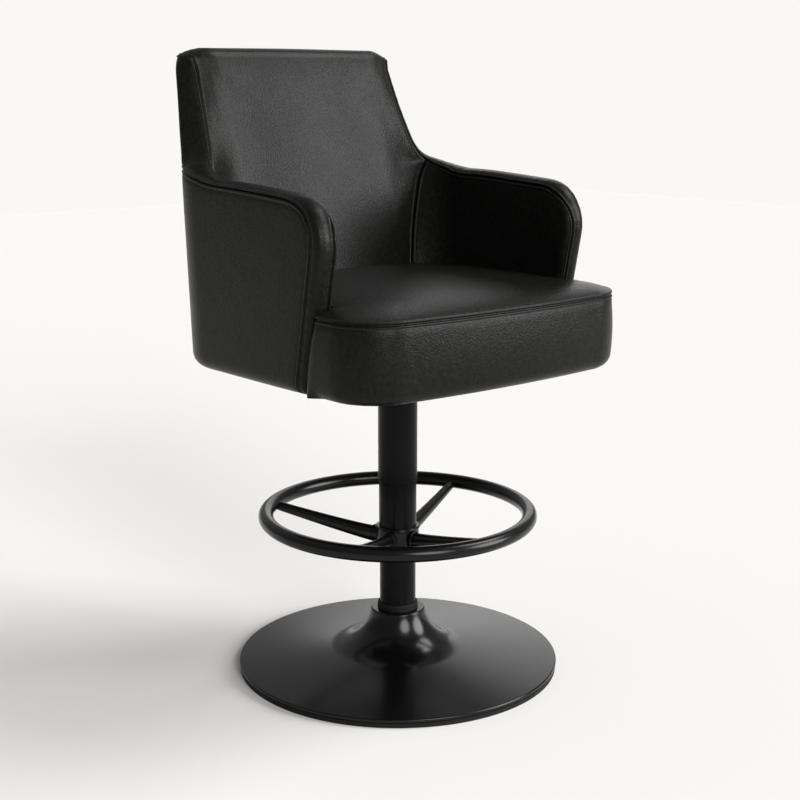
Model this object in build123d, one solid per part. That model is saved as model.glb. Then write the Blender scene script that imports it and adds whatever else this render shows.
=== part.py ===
from build123d import *
from math import cos, radians, sin, sqrt, tan
import os

# Gaming stool: an upholstered tub seat that swivels on a fixed trumpet base with a footrest ring.
# Millimetres, +Z up, the sitter faces -Y. The origin is on the swivel axis, on the floor.

# Clearances shared by the whole stool
skin_gap = 0.3          # between neighbouring upholstery pieces, and round every screw
running_gap = 0.05      # radial clearance of the spindle in its bushings
press_gap = 0.1         # radial clearance of parts that are pushed or welded together
reach = 508.0           # half size of a cutting block, larger than the seat
overrun = 5.0           # how far a cutter reaches past what it cuts

# Trumpet base
base_radius = 254.0
rim_height = 13.0
rim_edge_radius = 1.6
cover_wall = 2.0
cover_hem_width = 7.0
cover_hem_height = 8.0
cone_angle = 6.7
neck_radius = 43.0
neck_height = 93.0
neck_angle = 78.0
neck_edge_radius = 3.0
flare_radius = 66.0

# Floor ring and ballast plate
floor_ring_inset = 1.0
floor_ring_width = 15.0
floor_ring_height = 6.6
ring_groove_depth = 3.0
ring_seat_width = 3.2
ring_shelf_height = 4.0
plate_inset = 11.0
plate_thickness = 8.0

# Column
post_radius = 28.5
post_wall = 3.0
post_top = 452.0
flange_radius = 66.0
flange_thickness = 8.0
flange_bolt_circle = 48.0
flange_bolt_count = 4
lower_sleeve_wall = 0.9
sleeve_split_height = 300.0
sleeve_split_gap = 1.0
upper_sleeve_radius = 30.75
upper_sleeve_wall = 1.5

# Rubber grommet between the cover's neck and the post
grommet_bore_radius = 30.2
grommet_flange_radius = 32.2
grommet_waist_radius = 30.8
grommet_lip_height = 4.0
grommet_waist_height = 2.0
grommet_rib_height = 3.6
grommet_rib_bevel = 1.2

# Footrest
footrest_radius = 207.5
footrest_tube_radius = 11.2
footrest_height = 248.0
hub_radius = 33.5
hub_bottom = 181.0
hub_top = 229.0
hub_lip_radius = 1.7
socket_reach = 5.0
socket_margin = 1.6
spoke_hub_height = 206.0
spoke_drop_at_ring = 4.0
spoke_hub_half_height = 10.4
spoke_hub_half_width = 8.2
spoke_ring_half_height = 5.8
spoke_ring_half_width = 5.4
spoke_angles = (125.0, 23.0, -87.0, -150.0)
set_screw_angles = (74.0, 167.5, -32.0)
set_screw_radius = 4.0
set_screw_head_radius = 4.6
set_screw_head_height = 2.6
set_screw_head_bevel = 1.4

# Swivel bearing inside the column
spindle_radius = 15.0
spindle_head_radius = 24.0
spindle_tail = 14.0
bushing_wall = 3.0
bushing_lip_radius = 21.0
bushing_lip_height = 2.0
bearing_block_length = 40.0
bearing_block_lip = 4.0
lower_block_height = 304.0
lower_block_length = 26.0
thrust_bearing_height = 6.0
thrust_race_height = 2.0
thrust_inner_radius = 16.5
thrust_outer_radius = 23.5
thrust_cage_inset = 1.5
washer_radius = 21.0
washer_thickness = 3.0
circlip_radius = 18.0
circlip_thickness = 2.0
circlip_groove_depth = 1.2
circlip_opening = 7.5

# Bolts: thread radius, half the width across flats, head height
flange_bolt = (5.0, 8.5, 6.4)
plate_bolt = (4.0, 6.5, 5.3)

# Seat board and mounting plate
board_bottom = 495.0
board_thickness = 15.0
mounting_plate_size = 190.0
mounting_plate_thickness = 6.0
mounting_plate_corner = 14.0
mounting_bolt_spacing = 150.0
tee_nut_radius = 11.0
tee_nut_flange = 1.6
tee_nut_barrel_radius = 5.2
dust_cover_thickness = 1.2
dust_cover_margin = 6.0
dust_cover_opening_margin = 2.0

# Tub shell, outside
shell_bottom = 488.0
shell_half_width = 258.5
shell_rear_at_bottom = 244.0
shell_rear_at_seam = 262.0
shell_rear_at_top = 302.0
shell_corner_radius = 100.0
seam_height = 785.0
shell_top = 961.0
shell_rear_bow = 2.5
shell_hem_radius = 20.0
shell_lip_width = 21.0

# Tub shell, inside: the hollow that the sitter sits in
arm_width = 36.5
back_depth_at_bottom = 99.0
back_depth_at_seam = 40.0
back_depth_at_top = 33.0
hollow_corner_at_bottom = 50.0
hollow_corner_at_seam = 84.0
hollow_corner_at_top = 56.0
pad_crown_at_bottom = 3.0
pad_crown_at_seam = 7.0
pad_crown_at_top = 2.5

# Layers of the shell
outer_padding = 4.0
frame_thickness = 8.0
band_thickness = 12.0

# Crest line of the shell: arms at the sides, wings that rise to the top of the back
arm_front = -158.1
arm_front_height = 755.5
arm_front_lean = 11.3
arm_rise_angle = 3.43
arm_corner_radius = 65.0
arm_level_depth = 55.0
arm_level_radius = 900.0
arm_rear_limit = 125.0
wing_angle = 38.0
wing_foot = -144.9
wing_tip = -219.1
wing_tip_radius = 22.0
wing_foot_radius = 45.0
top_seam_inset = 75.5
pad_seam_inset = 30.0
pad_seam_depth = 176.0
pad_seam_angle = 45.0

# Seat cushion
cushion_front = -256.0
cushion_front_bow = 9.0
cushion_overhang = 1.5
cushion_corner_radius = 80.0
cushion_tongue_lap = 16.0
welt_height = 600.0
cushion_crown = 626.0
cushion_crown_radius = 3400.0
cushion_crown_centre = -35.0
cushion_hem_radius = 20.0
cushion_top_inset = 2.0
shoulder_width = 16.0
shoulder_height = 17.0
shoulder_angles = (0.0, 30.0, 60.0, 90.0)
crown_inset = 60.0
cushion_gap = 1.0

# Screws that hold the tub's frame to the edge of the seat board
frame_screw_radius = 2.5
frame_screw_head_radius = 4.0
frame_screw_head_height = 3.0
frame_screw_length = 34.0
frame_screw_sink = 4.0
frame_screw_side_depths = (-70.0, 20.0, 110.0)
frame_screw_rear_spacing = 220.0

# Places that follow from the sizes above
plate_top = ring_shelf_height + plate_thickness
flange_top = plate_top + flange_thickness
board_top = board_bottom + board_thickness
mounting_plate_bottom = board_bottom - mounting_plate_thickness
upper_block_bottom = post_top - bearing_block_length
block_top = post_top + bearing_block_lip
spindle_head_bottom = block_top + thrust_bearing_height
bushing_radius = spindle_radius + running_gap + bushing_wall
frame_inset = outer_padding + skin_gap
pad_inset = frame_inset + frame_thickness + skin_gap
floor_ring_radius = base_radius - floor_ring_inset
plate_radius = floor_ring_radius - plate_inset
hollow_half_width = shell_half_width - arm_width
hollow_rear_at_bottom = shell_rear_at_bottom - back_depth_at_bottom
hollow_rear_at_seam = shell_rear_at_seam - back_depth_at_seam
hollow_rear_at_top = shell_rear_at_top - back_depth_at_top
top_seam_half_width = shell_half_width - top_seam_inset
pad_seam_half_width = hollow_half_width - pad_seam_inset
cushion_half_width = shell_half_width + cushion_overhang


def polygon(points):
    """A flat closed face through the given (across, up) points."""
    return make_face(Polyline(*points, close=True))


def turned(face):
    """The face, drawn as (radius, height), turned once round the swivel axis."""
    return revolve(Plane.XZ * face, Axis.Z, 360)


def corner_of(face, point):
    """The corner of a drawn face that lies nearest to a point."""
    return face.vertices().sort_by_distance(Vector(*point))[0]


def tube(outer, inner, bottom, top):
    """A round tube, or a solid rod where the inner radius is zero."""
    ring = Circle(outer) - Circle(inner) if inner > 0 else Circle(outer)
    return extrude(Pos(0, 0, bottom) * ring, top - bottom)


def slab(bottom, top):
    """A wide block between two heights, for keeping one storey of a form."""
    return Pos(0, 0, (bottom + top) / 2) * Box(2 * reach, 2 * reach, top - bottom)


# Base


def cone_height(radius):
    """Height of the cover's straight cone at a radius."""
    return rim_height + (base_radius - radius) * tan(radians(cone_angle))


def cover_section(inset):
    """Half section of the cover, filled down to its hem and drawn in by inset."""
    slope, neck = tan(radians(cone_angle)), 1 / tan(radians(neck_angle))
    meet_radius = (neck_radius + neck * (neck_height - rim_height - slope * base_radius)) / (1 - neck * slope)
    meet = (meet_radius, cone_height(meet_radius))
    rim, neck_edge = (base_radius, rim_height), (neck_radius, neck_height)
    face = polygon([(grommet_bore_radius, cover_hem_height), (base_radius, cover_hem_height), rim,
                    meet, neck_edge, (grommet_bore_radius, neck_height)])
    face = fillet(corner_of(face, meet), flare_radius)
    face = fillet(corner_of(face, neck_edge), neck_edge_radius)
    face = fillet(corner_of(face, rim), rim_edge_radius)
    return offset(face, amount=-inset) if inset else face


def base_cover():
    """Spun trumpet cover: one wall thick, with an in-turned hem and an open neck."""
    wall = cover_section(0) - cover_section(cover_wall)
    mouth = base_radius - cover_hem_width
    underside = polygon([(0, 0), (mouth, 0), (mouth, cover_hem_height + cover_wall),
                         (0, cover_hem_height + cover_wall)])
    inner, ledge = grommet_bore_radius + cover_wall, neck_height - cover_wall
    bore = polygon([(0, 0), (inner, 0), (inner, ledge), (0, ledge)])
    return turned(wall - underside - bore)


def floor_ring():
    """Rubber ring that the stool stands on, with a shelf for the ballast plate and a shadow groove."""
    inner = floor_ring_radius - floor_ring_width
    groove = base_radius - ring_groove_depth
    seat = groove - ring_seat_width
    section = polygon([(inner, 0), (floor_ring_radius, 0), (floor_ring_radius, floor_ring_height),
                       (groove, floor_ring_height), (groove, cover_hem_height), (seat, cover_hem_height),
                       (seat, ring_shelf_height), (inner, ring_shelf_height)])
    return turned(section)


def flange_bolt_places():
    """Centres of the bolts round the column's foot."""
    return [Rot(0, 0, 360 * (i + 0.5) / flange_bolt_count) * Pos(flange_bolt_circle, 0, 0)
            for i in range(flange_bolt_count)]


def base_plate():
    """Steel ballast plate, drilled for the column's bolts."""
    plate = tube(plate_radius, 0, ring_shelf_height, plate_top)
    hole = tube(flange_bolt[0] + press_gap, 0, 0, plate_top + overrun)
    return plate - [place * hole for place in flange_bolt_places()]


def column_flange():
    """Round flange welded to the foot of the post."""
    flange = tube(flange_radius, post_radius + press_gap, plate_top, flange_top)
    hole = tube(flange_bolt[0] + press_gap, 0, 0, flange_top + overrun)
    return flange - [place * hole for place in flange_bolt_places()]


def hex_bolt(size, head_bottom, length):
    """Hexagon bolt with its shank hanging down from the head."""
    thread, half_flats, head = size
    cap = extrude(Pos(0, 0, head_bottom) * RegularPolygon(half_flats, 6, major_radius=False), head)
    return cap + tube(thread, 0, head_bottom - length, head_bottom)


def flange_bolts():
    """Bolts that hold the column's flange to the ballast plate."""
    bolt = hex_bolt(flange_bolt, flange_top, flange_thickness + plate_thickness)
    return Compound([place * bolt for place in flange_bolt_places()])


def base_grommet():
    """Stepped rubber grommet that closes the neck of the cover round the post."""
    bore = post_radius + press_gap
    groove = grommet_bore_radius - press_gap
    ledge_bottom, ledge_top = neck_height - cover_wall, neck_height
    waist_bottom = ledge_top + grommet_lip_height
    rib_bottom = waist_bottom + grommet_waist_height
    top = rib_bottom + grommet_rib_height
    rib_radius = grommet_flange_radius - grommet_rib_bevel / 2
    lower = [(bore, ledge_bottom - grommet_lip_height),
             (grommet_flange_radius, ledge_bottom - grommet_lip_height),
             (grommet_flange_radius, ledge_bottom), (groove, ledge_bottom)]
    upper = [(groove, ledge_top), (grommet_flange_radius, ledge_top), (grommet_flange_radius, waist_bottom),
             (grommet_waist_radius, waist_bottom), (grommet_waist_radius, rib_bottom)]
    rib = [(rib_radius, rib_bottom), (rib_radius, top - grommet_rib_bevel),
           (rib_radius - grommet_rib_bevel, top), (bore, top)]
    section = polygon(lower + upper + rib)
    return turned(section)


# Column and swivel


def column_post():
    """Fixed steel post that stands on the ballast plate."""
    return tube(post_radius, post_radius - post_wall, plate_top, post_top)


def lower_sleeve():
    """Fixed cover sleeve between the footrest hub and the turning sleeve."""
    inner = post_radius + press_gap
    return tube(inner + lower_sleeve_wall, inner, hub_top, sleeve_split_height - sleeve_split_gap / 2)


def upper_sleeve():
    """Cover sleeve that turns with the seat and hides the bearings."""
    inner = upper_sleeve_radius - upper_sleeve_wall
    return tube(upper_sleeve_radius, inner, sleeve_split_height + sleeve_split_gap / 2, mounting_plate_bottom)


def upper_bearing_block():
    """Plug in the top of the post, with a lip that rests on the post's end."""
    bore = bushing_radius + press_gap
    body = tube(post_radius - post_wall - press_gap, bore, upper_block_bottom, post_top)
    counterbore = tube(bushing_lip_radius + press_gap, 0, block_top - bushing_lip_height, block_top + overrun)
    return body + tube(post_radius, bore, post_top, block_top) - counterbore


def lower_bearing_block():
    """Second plug, lower in the post, that steadies the spindle's tail."""
    bore = bushing_radius + press_gap
    top = lower_block_height + lower_block_length
    body = tube(post_radius - post_wall - press_gap, bore, lower_block_height, top)
    return body - tube(bushing_lip_radius + press_gap, 0, top - bushing_lip_height, top + overrun)


def bushing(bottom, top):
    """Flanged bushing that the spindle turns in."""
    bore = spindle_radius + running_gap
    lip = tube(bushing_lip_radius, bore, top - bushing_lip_height, top)
    return tube(bushing_radius, bore, bottom, top) + lip


def thrust_bearing():
    """Two races with a roller cage between them, under the head of the spindle."""
    races = [tube(thrust_outer_radius, thrust_inner_radius, bottom, bottom + thrust_race_height)
             for bottom in (block_top, spindle_head_bottom - thrust_race_height)]
    cage = tube(thrust_outer_radius - thrust_cage_inset, thrust_inner_radius + thrust_cage_inset,
                block_top + thrust_race_height, spindle_head_bottom - thrust_race_height)
    return races[0] + races[1] + cage


def spindle_washer():
    """Washer under the lower bearing block, on the spindle's tail."""
    top = lower_block_height - skin_gap
    return tube(washer_radius, spindle_radius + running_gap, top - washer_thickness, top)


def swivel_spindle():
    """Turned spindle welded under the mounting plate, grooved near its tail for the circlip."""
    head = tube(spindle_head_radius, 0, spindle_head_bottom, mounting_plate_bottom)
    shaft = tube(spindle_radius, 0, lower_block_height - spindle_tail, spindle_head_bottom)
    groove_top = lower_block_height - skin_gap - washer_thickness - skin_gap
    groove = tube(spindle_radius + overrun, spindle_radius - circlip_groove_depth,
                  groove_top - circlip_thickness, groove_top)
    return head + shaft - groove


def spindle_circlip():
    """Open ring in the groove, which keeps the seat from lifting off."""
    top = lower_block_height - skin_gap - washer_thickness - skin_gap
    ring = tube(circlip_radius, spindle_radius - circlip_groove_depth + press_gap,
                top - circlip_thickness + press_gap, top - press_gap)
    return ring - Pos(0, circlip_radius, top) * Box(circlip_opening, spindle_radius, overrun)


# Footrest


def footrest_ring():
    """Bent tube ring that the sitter's feet rest on."""
    return Pos(0, 0, footrest_height) * Torus(footrest_radius, footrest_tube_radius)


def spoke_section(radius, margin):
    """Oval cross-section of a spoke at a distance from the axis, grown by margin."""
    share = (radius - hub_radius) / (footrest_radius - hub_radius)
    height = spoke_hub_height + share * (footrest_height - spoke_drop_at_ring - spoke_hub_height)
    half_width = spoke_hub_half_width + share * (spoke_ring_half_width - spoke_hub_half_width)
    half_height = spoke_hub_half_height + share * (spoke_ring_half_height - spoke_hub_half_height)
    place = Plane(origin=(radius, 0, height), x_dir=(0, 1, 0), z_dir=(1, 0, 0))
    return place * Ellipse(half_width + margin, half_height + margin)


def footrest_hub():
    """Clamp hub on the post, with a socket for each spoke and a bead round its top."""
    hub = tube(hub_radius, 0, hub_bottom, hub_top)
    bead = Pos(0, 0, hub_top - hub_lip_radius) * Torus(hub_radius, hub_lip_radius)
    socket = loft([spoke_section(post_radius, socket_margin),
                   spoke_section(hub_radius + socket_reach, socket_margin)], ruled=True)
    hub = hub + bead + [Rot(0, 0, angle) * socket for angle in spoke_angles]
    screw_hole = Rot(0, 90, 0) * tube(set_screw_radius + press_gap, 0, 0, hub_radius + overrun)
    middle = Pos(0, 0, (hub_bottom + hub_top) / 2)
    hub = hub - [middle * Rot(0, 0, angle) * screw_hole for angle in set_screw_angles]
    return hub - tube(post_radius + press_gap, 0, hub_bottom - overrun, hub_top + overrun)


def footrest_spokes():
    """Tapered oval spokes from the hub's sockets up to the inside of the ring."""
    spoke = loft([spoke_section(hub_radius + socket_reach, 0), spoke_section(footrest_radius, 0)], ruled=True)
    ring = Pos(footrest_radius, 0, footrest_height) * Rot(90, 0, 0) * Cylinder(
        footrest_tube_radius + press_gap, 2 * footrest_tube_radius)
    spoke = (spoke - ring).solids().sort_by(Axis.X)[0]
    return Compound([Rot(0, 0, angle) * spoke for angle in spoke_angles])


def hub_set_screws():
    """Domed screws that clamp the hub to the post."""
    head = Pos(0, 0, hub_radius) * extrude(Circle(set_screw_head_radius), set_screw_head_height)
    head = chamfer(head.edges().sort_by(Axis.Z)[-1], set_screw_head_bevel)
    screw = head + tube(set_screw_radius, 0, post_radius + press_gap, hub_radius)
    middle = Pos(0, 0, (hub_bottom + hub_top) / 2)
    return Compound([middle * Rot(0, 0, angle) * Rot(0, 90, 0) * screw for angle in set_screw_angles])


# Tub shell


def plan_outline(height, half_width, rear, corner, bow):
    """Plan of the tub at one height: two straight arms, rounded corners and a rear line that bows by bow."""
    front = -reach / 2
    turn = corner * (1 - sqrt(0.5))
    left = [Line((-half_width, front), (-half_width, rear - corner)),
            ThreePointArc((-half_width, rear - corner), (-half_width + turn, rear - turn),
                          (-half_width + corner, rear))]
    back = ThreePointArc((-half_width + corner, rear), (0, rear + bow), (half_width - corner, rear))
    right = [ThreePointArc((half_width - corner, rear), (half_width - turn, rear - turn),
                           (half_width, rear - corner)),
             Line((half_width, rear - corner), (half_width, front)),
             Line((half_width, front), (-half_width, front))]
    return Pos(0, 0, height) * make_face(Curve() + left + back + right)


def between(low, high, low_height, high_height, height):
    """Straight-line value at a height, from the values at two heights."""
    return low + (high - low) * (height - low_height) / (high_height - low_height)


def shell_solid(inset, bottom):
    """The outside form of the tub, filled, drawn in by inset and cut square at bottom."""
    top = shell_top + overrun
    rears = [between(shell_rear_at_bottom, shell_rear_at_seam, shell_bottom, seam_height, bottom),
             shell_rear_at_seam,
             between(shell_rear_at_seam, shell_rear_at_top, seam_height, shell_top, top)]
    corner = shell_corner_radius - inset
    sections = [plan_outline(height, shell_half_width - inset, rear - inset, corner, shell_rear_bow)
                for height, rear in zip((bottom, seam_height, top), rears)]
    return loft(sections, ruled=True)


def shell_layer(inset):
    """The outside form of the tub with its rounded hem, drawn in by inset on the sides and below."""
    form = shell_solid(inset, shell_bottom + inset)
    return fillet(form.edges().group_by(Axis.Z)[0], shell_hem_radius - inset)


def hollow_solid(inset, bottom, top):
    """The space between the arms and in front of the back pad, drawn in by inset."""
    low = (hollow_rear_at_bottom, hollow_corner_at_bottom, pad_crown_at_bottom)
    seam = (hollow_rear_at_seam, hollow_corner_at_seam, pad_crown_at_seam)
    high = (hollow_rear_at_top, hollow_corner_at_top, pad_crown_at_top)
    sections = []
    for height in (bottom, seam_height, top):
        below = height <= seam_height
        ends = (low, seam, shell_bottom, seam_height) if below else (seam, high, seam_height, shell_top)
        rear, corner, crown = [between(ends[0][i], ends[1][i], ends[2], ends[3], height) for i in range(3)]
        sections.append(plan_outline(height, hollow_half_width - inset, rear - inset, corner - inset, -crown))
    return loft(sections)


def arm_line(depth):
    """Height of the arm's top at a depth along the stool."""
    return arm_front_height + (depth - arm_front) * tan(radians(arm_rise_angle))


def arm_keep(drop):
    """Everything behind the arm fronts and under the arm tops, seen from the side, drawn in by drop."""
    foot = arm_front + (arm_front_height + reach) * tan(radians(arm_front_lean))
    low, high, level = shell_bottom - overrun, shell_top + reach, arm_line(arm_level_depth)
    front_corner, crease = (arm_front, arm_front_height), (arm_level_depth, level)
    face = polygon([(foot, -reach), front_corner, crease, (arm_rear_limit, level),
                    (arm_rear_limit, high), (reach, high), (reach, -reach)])
    face = fillet(corner_of(face, front_corner), arm_corner_radius)
    face = fillet(corner_of(face, crease), arm_level_radius)
    if drop:
        face = offset(face, amount=-drop, kind=Kind.INTERSECTION)
    face = face & polygon([(-reach, low), (reach, low), (reach, high - reach / 2), (-reach, high - reach / 2)])
    return extrude(Plane.YZ * face, reach, both=True)


def wing_keep(drop, side):
    """Everything under one wing's crest line, cut square to the tub's rounded corner, drawn in by drop."""
    low = shell_bottom - reach
    arm = arm_line(arm_level_depth)
    foot, tip = (wing_foot, arm), (wing_tip, shell_top)
    face = polygon([(-2 * reach, low), (-2 * reach, shell_top), tip, foot, (reach, arm), (reach, low)])
    face = fillet(corner_of(face, foot), wing_foot_radius)
    face = fillet(corner_of(face, tip), wing_tip_radius)
    if drop:
        face = offset(face, amount=-drop, kind=Kind.INTERSECTION)
    turn = radians(wing_angle)
    across = Vector(side * cos(turn), -sin(turn), 0)
    place = Plane(origin=(side * shell_half_width, 0, 0), x_dir=across, z_dir=across.cross(Vector(0, 0, 1)))
    return extrude(place * face, 2 * reach, both=True)


def crest(drop):
    """The space under the whole crest of the tub: arms, wings and top edge, drawn in by drop."""
    return arm_keep(drop) & wing_keep(drop, -1) & wing_keep(drop, 1)


def top_zone(half_width):
    """The stretch of the top edge that the back pad's cover rolls over."""
    height = shell_top - wing_tip_radius - band_thickness
    return Pos(0, 0, height + reach / 2) * Box(2 * half_width, 2 * reach, reach)


def arm_side(side, gap):
    """The space on the arm's side of the seam between back pad and arm pad."""
    place = Plane(origin=(side * pad_seam_half_width, pad_seam_depth, 0), x_dir=(1, 0, 0), z_dir=(0, 0, 1))
    block = Pos(reach / 2 + gap, 0, 0) * Box(reach, 2 * reach, 4 * reach)
    turn = -pad_seam_angle if side > 0 else 180 + pad_seam_angle
    return place * Rot(0, 0, turn) * block


def biggest(shape):
    """The largest solid of a cut, without any slivers that the cut leaves."""
    return shape.solids().sort_by(SortBy.VOLUME)[-1]


def tub_pieces():
    """Frame and covers of the tub, keyed by name."""
    outside = shell_layer(0)
    hollow = hollow_solid(0, shell_bottom - overrun, shell_top + overrun)
    padding = outside - shell_layer(outer_padding) - shell_solid(shell_lip_width, shell_bottom - overrun)
    inner = crest(band_thickness + skin_gap)
    whole = (outside - hollow) & crest(0)

    pieces = {}
    cover = padding & inner
    pieces["outer_panel"] = biggest(cover & slab(0, seam_height - skin_gap / 2))
    pieces["upper_rear_panel"] = biggest(cover & slab(seam_height + skin_gap / 2, shell_top + overrun))
    frame = shell_layer(frame_inset) - shell_solid(frame_inset + frame_thickness, shell_bottom - overrun)
    pieces["shell_frame"] = biggest((frame & inner) - frame_screw_holes())

    edge = whole - crest(band_thickness)
    pad_space = shell_solid(pad_inset, board_top + skin_gap) - hollow
    for side, name in ((-1, "left"), (1, "right")):
        half = Pos(side * reach, 0, 0) * Box(2 * reach, 2 * reach, 4 * reach)
        pieces["edge_band_" + name] = biggest((edge - top_zone(top_seam_half_width)) & half)
        pieces["arm_pad_" + name] = biggest(pad_space & inner & arm_side(side, skin_gap / 2))

    roll = edge & top_zone(top_seam_half_width - skin_gap)
    pad = pad_space & (inner + top_zone(top_seam_half_width - skin_gap) & crest(0))
    pad = pad - arm_side(-1, -skin_gap / 2) - arm_side(1, -skin_gap / 2)
    pieces["back_pad"] = biggest(pad) + biggest(roll)
    return pieces


# Seat


def front_of_arms(gap):
    """The space in front of the arm fronts."""
    foot = arm_front + (arm_front_height - shell_bottom) * tan(radians(arm_front_lean))
    face = polygon([(-reach, shell_bottom), (foot - gap, shell_bottom), (arm_front - gap, arm_front_height),
                    (-reach, arm_front_height)])
    return extrude(Plane.YZ * face, reach, both=True)


def ear_outline(inset):
    """Plan of the cushion's full-width front, drawn in by inset."""
    half, front = cushion_half_width - inset, cushion_front + cushion_front_bow + inset
    corner = cushion_corner_radius - inset
    turn = corner * (1 - sqrt(0.5))
    edges = [Line((-half, 0), (-half, front + corner)),
             ThreePointArc((-half, front + corner), (-half + turn, front + turn), (-half + corner, front)),
             ThreePointArc((-half + corner, front), (0, front - cushion_front_bow), (half - corner, front)),
             ThreePointArc((half - corner, front), (half - turn, front + turn), (half, front + corner)),
             Line((half, front + corner), (half, 0)), Line((half, 0), (-half, 0))]
    return make_face(Curve() + edges)


def crown_dome():
    """A very large ball whose top gives the seat its crown."""
    return Pos(0, cushion_crown_centre, cushion_crown - cushion_crown_radius) * Sphere(cushion_crown_radius)


def cushion_shoulder():
    """The rounded shoulder over the cushion's seam, from the seam up to the crown."""
    turns = [radians(angle) for angle in shoulder_angles]
    steps = [(cushion_top_inset + shoulder_width * (1 - cos(turn)), shoulder_height * sin(turn))
             for turn in turns]
    steps.append((crown_inset, cushion_crown - welt_height))
    return loft([Pos(0, 0, welt_height + rise) * ear_outline(inset) for inset, rise in steps], ruled=True)


def seat_cushion(board):
    """T-shaped box cushion: a full-width front, a tongue between the arms, a seam and a crowned top."""
    front = extrude(Pos(0, 0, board_bottom) * ear_outline(0), welt_height - board_bottom)
    front = fillet(front.edges().group_by(Axis.Z)[0].sort_by(Axis.Y)[:-1], cushion_hem_radius)
    front = front & front_of_arms(cushion_gap)
    tongue = hollow_solid(cushion_gap, shell_bottom - overrun, shell_top) - front_of_arms(cushion_tongue_lap)
    low = (tongue & slab(board_top, welt_height)) + front
    top = (cushion_shoulder() & front_of_arms(cushion_gap)) + (tongue & slab(welt_height, cushion_crown))
    return low + (top & crown_dome()) - board


def board_form(margin, bottom, top):
    """Plan of the seat board drawn in by margin, between two heights."""
    between_arms = Box(2 * (hollow_half_width - cushion_gap - margin), 2 * reach, 2 * reach)
    tub = shell_solid(pad_inset + margin, bottom) & slab(bottom, top)
    tub = tub - (front_of_arms(-band_thickness - skin_gap - margin) - between_arms)
    front = extrude(Pos(0, 0, bottom) * ear_outline(pad_inset + margin), top - bottom)
    ears = front & front_of_arms(cushion_gap + margin)
    return (tub - front_of_arms(-overrun)) + (front & between_arms) + ears


def seat_board():
    """Plywood board under the cushion, as wide as the inside of the tub's frame."""
    hole = tube(tee_nut_barrel_radius + press_gap, 0, board_bottom - overrun, board_top + overrun)
    recess = tube(tee_nut_radius + press_gap, 0, board_top - tee_nut_flange, board_top + overrun)
    board = board_form(0, board_bottom, board_top) - frame_screw_holes()
    return board - [place * (hole + recess) for place in mounting_bolt_places()]


def dust_cover():
    """Woven sheet stapled under the board, open round the mounting plate."""
    side = mounting_plate_size + 2 * dust_cover_opening_margin
    opening = Pos(0, 0, board_bottom) * Box(side, side, 2 * overrun)
    return board_form(dust_cover_margin, board_bottom - dust_cover_thickness, board_bottom) - opening


def frame_screw_places():
    """Head centres of the screws through the tub's frame, with their +Z pointing outwards."""
    height = (board_bottom + board_top) / 2
    side = shell_half_width - frame_inset - frame_screw_sink
    rear = shell_rear_at_bottom - frame_inset - frame_screw_sink
    across = frame_screw_rear_spacing / 2
    places = [Pos(turn * side, depth, height) * Rot(0, turn * 90, 0)
              for turn in (-1, 1) for depth in frame_screw_side_depths]
    return places + [Pos(x, rear, height) * Rot(-90, 0, 0) for x in (-across, across)]


def frame_screws():
    """Wood screws that hold the tub's frame to the edge of the board."""
    screw = tube(frame_screw_radius, 0, -frame_screw_length, 0)
    screw = screw + tube(frame_screw_head_radius, 0, -frame_screw_head_height, 0)
    return Compound([place * screw for place in frame_screw_places()])


def frame_screw_holes():
    """Hole and sunk head of every frame screw, a little larger than the screws."""
    hole = tube(frame_screw_radius + press_gap, 0, -frame_screw_length - press_gap, 0)
    hole = hole + tube(frame_screw_head_radius + press_gap, 0, -frame_screw_head_height - press_gap, overrun)
    return [place * hole for place in frame_screw_places()]


def mounting_bolt_places():
    """Centres of the bolts that hold the mounting plate."""
    half = mounting_bolt_spacing / 2
    return [Pos(x, y, 0) for x in (-half, half) for y in (-half, half)]


def mounting_plate():
    """Steel plate between the column and the seat board."""
    plate = extrude(RectangleRounded(mounting_plate_size, mounting_plate_size, mounting_plate_corner),
                    mounting_plate_thickness)
    hole = tube(plate_bolt[0] + press_gap, 0, -overrun, mounting_plate_thickness + overrun)
    plate = plate - [place * hole for place in mounting_bolt_places()]
    return Pos(0, 0, mounting_plate_bottom) * plate


def mounting_bolts():
    """Bolts from below, through the mounting plate into the tee nuts."""
    length = mounting_plate_thickness + board_thickness - tee_nut_flange
    bolt = Pos(0, 0, mounting_plate_bottom) * Rot(180, 0, 0) * hex_bolt(plate_bolt, 0, length)
    return Compound([place * bolt for place in mounting_bolt_places()])


def tee_nuts():
    """Tee nuts let into the top of the board."""
    bottom = board_bottom + overrun
    nut = tube(tee_nut_radius, plate_bolt[0] + press_gap, board_top - tee_nut_flange, board_top)
    nut = nut + tube(tee_nut_barrel_radius, plate_bolt[0] + press_gap, bottom, board_top)
    return Compound([place * nut for place in mounting_bolt_places()])


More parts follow.
